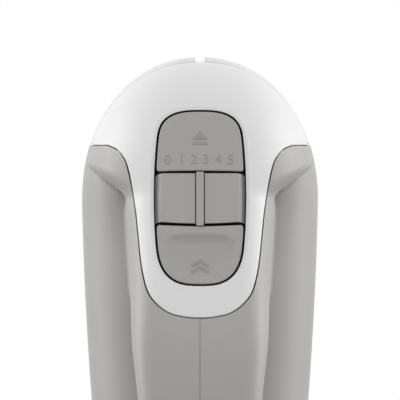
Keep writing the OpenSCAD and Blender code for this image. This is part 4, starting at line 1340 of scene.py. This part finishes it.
def wound(name):
    # enamelled wire turns
    look = Look(name, Coat_Weight=0.5, Coat_Roughness=0.15)
    turns = look.node("ShaderNodeTexWave", {"wave_type": "BANDS", "bands_direction": "DIAGONAL"},
                      {"Vector": look.place(), "Scale": 420.0, "Distortion": 1.2, "Detail": 1.0,
                       "Detail Scale": 0.6}, 1)
    drift = look.noise(300, 2)
    colours = look.mix(turns, (0.2, 0.06, 0.025), (0.72, 0.3, 0.13))
    colours = look.mix(drift.between(0.4, 0.8) * 0.5, colours, (0.5, 0.2, 0.1))
    return look.feed(Base_Color=colours, Metallic=0.75 + drift * 0.2, Roughness=0.28 + drift * 0.1,
                     Normal=look.bump(turns, 0.12))


def rubber(name):
    look = Look(name, Specular_IOR_Level=0.35)
    dust = look.noise(220, 4, 0.7)
    pores = look.cells(2600)
    colours = look.mix(dust.between(0.45, 0.8), (0.022, 0.022, 0.023), (0.05, 0.05, 0.052))
    return look.feed(Base_Color=colours, Roughness=0.62 + dust * 0.2, Normal=look.bump(pores, 0.05))


def board(name):
    # solder mask over fine tracks
    look = Look(name, Coat_Weight=0.4, Coat_Roughness=0.2)
    tracks = look.node("ShaderNodeTexBrick", {"offset": 0.3}, {"Vector": look.place(), "Scale": 420.0,
                       "Mortar Size": 0.05, "Mortar Smooth": 0.1}, 1)
    specks = look.noise(900, 2)
    colours = look.mix(tracks, (0.02, 0.13, 0.05), (0.06, 0.25, 0.1))
    colours = look.mix(specks.between(0.6, 0.75) * 0.4, colours, (0.1, 0.3, 0.16))
    return look.feed(Base_Color=colours, Roughness=0.3 + specks * 0.15, Normal=look.bump(tracks, 0.03))


def carbon(name):
    look = Look(name)
    flecks = look.cells(3200)
    smear = look.noise(500, 3, 0.6, (1, 1, 0.2))
    colours = look.mix(flecks.between(0.1, 0.5), (0.05, 0.05, 0.055), (0.02, 0.02, 0.022))
    return look.feed(Base_Color=colours, Metallic=0.2 + smear * 0.2, Roughness=0.35 + smear * 0.25,
                     Normal=look.bump(flecks, 0.03))


finishes = {  # maker of each slot's material, then its colour, gloss, grain and the like
    "cover_white": (moulded, (0.83, 0.83, 0.827), 0.5, 2600, 0.006, 0.0, 0.015),
    "band_pale": (moulded, (0.79, 0.79, 0.787), 0.34, 2600, 0.01, 0.1, 0.02),
    "housing_grey": (moulded, (0.42, 0.414, 0.402), 0.46, 3800, 0.03, 0.0, 0.03),
    "key_grey": (moulded, (0.41, 0.404, 0.393), 0.5, 4600, 0.025, 0.0, 0.03),
    "key_mark": (moulded, (0.315, 0.31, 0.3), 0.42, 4600, 0.01, 0.0, 0.02),
    "collar_dark": (moulded, (0.075, 0.075, 0.077), 0.4, 3400, 0.02),
    "plastic_black": (moulded, (0.03, 0.03, 0.032), 0.38, 3000, 0.02),
    "nylon_natural": (moulded, (0.66, 0.63, 0.53), 0.42, 2200, 0.02, 0.0, 0.08),
    "gear_nylon": (moulded, (0.76, 0.74, 0.65), 0.36, 2600, 0.012, 0.1, 0.06),
    "capacitor_yellow": (moulded, (0.62, 0.38, 0.03), 0.28, 1800, 0.01, 0.4, 0.06),
    "rubber_black": (rubber,),
    "board_green": (board,),
    "screw_steel": (metal, (0.56, 0.57, 0.6), 0.34, (1, 1, 1), 0.01, 1600),
    "spring_steel": (metal, (0.6, 0.61, 0.63), 0.26, (1, 1, 1), 0.006, 2400),
    "shaft_steel": (metal, (0.64, 0.65, 0.67), 0.24, (0.3, 0.3, 6), 0.006, 700),
    "lamination_steel": (laminated,),
    "winding_copper": (wound,),
    "bearing_brass": (metal, (0.72, 0.52, 0.24), 0.32, (1, 1, 5), 0.01, 800),
    "carbon_black": (carbon,),
    "beater_chrome": (metal, (0.42, 0.43, 0.445), 0.16, (5, 0.4, 5), 0.003, 500),
}


def camel(slot):
    first, *others = slot.split("_")
    return first + "".join(word.title() for word in others)


print("casing")
looks = {slot: maker(camel(slot), *values) for slot, (maker, *values) in finishes.items()}


def dress(piece, slot, body, *nodes):
    paint(piece, slot)
    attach(piece, body)
    if nodes:
        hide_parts(*nodes)
    return piece


# the window's walls get black as painted shade in its gaps
darkLining(dress(makeCover(), "cover_white", "casing", "top_cover"))
dress(makeBand(), "band_pale", "casing", "nose_band")
left, right = makeHousings()
dress(left, "housing_grey", "casing", "housing_left")
dress(right, "housing_grey", "casing", "housing_right")
print("keys")
# each key's walls in the gaps are painted black as painted shade
for maker, body, node in ((makeEject, "eject_key", "eject_button"),
                          (makeTurbo, "turbo_key", "turbo_button")):
    key, relief = maker()
    key = joined(key.name, [darkWalls(paint(key, "key_grey")), paint(relief, "key_mark")])
    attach(key, body)
    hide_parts(node)
# the slider band's walls in the gaps are painted black as painted shade
darkWalls(dress(makeSliderBand(), "key_grey", "casing", "slider_band"))
rib = dress(makeRib(), "key_grey", "slider", "speed_slider")
# the rib's grooves and lower steps are painted black: painted shade lines along its edges
height = (faceTable(rib)[0] - [0, panelY, panelZ]) @ outward
darken(rib, height < height.max() - slider["lineDeep"])
print("fittings")
dress(makePads(), "rubber_black", "casing", "heel_pads")
dress(makeScrews(), "screw_steel", "casing", "housing_screws")
dress(makeInlet(), "rubber_black", "casing", "cord_inlet")
for side, x, turn in (("left", -gearX, 0), ("right", gearX, 45)):
    title, body = side.title(), "beater_" + side
    dress(makeCollar("collar" + title, x), "collar_dark", "casing", "collar_" + side)
    dress(makeShaft("beaterShaft" + title, x), "beater_chrome", body, "beater_shaft_" + side)
    dress(makeHub("beaterHub" + title, x), "beater_chrome", body, "beater_hub_" + side)
    dress(makeWires("beaterWires" + title, x, turn), "beater_chrome", body, "beater_wires_" + side)

coils, foot, length = makeEjectSprings()
dress(coils, "spring_steel", "casing", "eject_springs")
foot * mm
1 - pressed["eject"] / length
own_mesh(coils)
coil = dress(makeTurboSpring(), "spring_steel", "casing", "turbo_spring")
tuple(slopePoint(0, springs["turboAt"], springs["turboFoot"]) * mm)
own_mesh(coil)

print("materials")
for part in frame["record"]["subparts"]:
    paint(frame["nodes"][part["node"]], part["material_slot"])

# studio
studio = {  # metres and watts; a lamp has place, aim, size and power
    "away": 6.0,
    "sight": 0.146,
    "seen": 0.1458,
    "sensor": 36,
    "floor": 4.0,
    "fade": (0.3, 1.2),
    "ambient": 0.34,
    "lamps": {
        "leftBox": ((-1.0, 0.2, 0.55), (0, 0, 0.13), (0.7, 1.0), 7.7),
        "rightBox": ((1.0, 0.2, 0.55), (0, 0, 0.13), (0.7, 1.0), 7.7),
        "topBox": ((0, 0.3, 1.3), (0, 0, 0.1), (0.9, 0.8), 0.5),
        "frontFill": ((0, -2.0, 1.6), (0, 0, 0.13), (1.4, 1.2), 17.6),
    },
}
print("studio")
deselect()
bpy.ops.mesh.primitive_circle_add(vertices=96, radius=studio["floor"], fill_type="NGON",
                                  location=(0, 0, -0.0002))
floor = bpy.context.object
floor.name = "floor"
look = Look("floorPale", Roughness=0.6, Emission_Strength=1.0)
x, y = look.axis("X"), look.axis("Y")
# seen from the camera it runs out into the white background
far = ((x * x + y * y) ** 0.5).between(*studio["fade"])
far = far * look.node("ShaderNodeLightPath", {}, {}, "Is Camera Ray")
pale = look.mix(look.noise(6, 2), (0.62, 0.62, 0.62), (0.66, 0.66, 0.66))
floor.data.materials.append(look.feed(Base_Color=look.mix(far, pale, (0.0, 0.0, 0.0)),
                                      Emission_Color=look.mix(far, (0.0, 0.0, 0.0), (1.0, 1.0, 1.0))))


def lamp(name, place, aim, size, power):
    deselect()
    bpy.ops.object.light_add(type="AREA", location=place)
    light = bpy.context.object
    light.name = name
    light.data.shape = "RECTANGLE"
    light.data.size, light.data.size_y = size
    light.data.energy = power
    light.rotation_euler = (Vector(aim) - Vector(place)).to_track_quat("-Z", "Y").to_euler()
    return light


lamps = [lamp(name, *values) for name, values in studio["lamps"].items()]
world = bpy.data.worlds.new("studioWorld")
bpy.context.scene.world = world
sky = Graph(world)
sky.tree.nodes.clear()
# white for what the camera, a reflection or a clear part sees, grey for what lights the part
seen, glossy, clear = [sky.node("ShaderNodeLightPath", {}, {}, "Is " + kind + " Ray")
                       for kind in ("Camera", "Glossy", "Transmission")]
seen = seen.maths("MAXIMUM", glossy).maths("MAXIMUM", clear)
plain = sky.node("ShaderNodeBackground", {}, {"Color": (0.9, 0.9, 0.9, 1), "Strength": studio["ambient"]})
bright = sky.node("ShaderNodeBackground", {}, {"Color": (1, 1, 1, 1)})
blend = sky.node("ShaderNodeMixShader", {}, {0: seen, 1: plain, 2: bright})
sky.node("ShaderNodeOutputWorld", {}, {"Surface": blend})
deselect()
bpy.ops.object.camera_add(location=(0, -studio["away"], studio["sight"]), rotation=(math.pi / 2, 0, 0))
camera = bpy.context.object
camera.data.sensor_width = studio["sensor"]
camera.data.lens = studio["sensor"] * studio["away"] / studio["seen"]
bpy.context.scene.camera = camera
bpy.context.scene.view_settings.view_transform = "Standard"

deselect()
print("done")
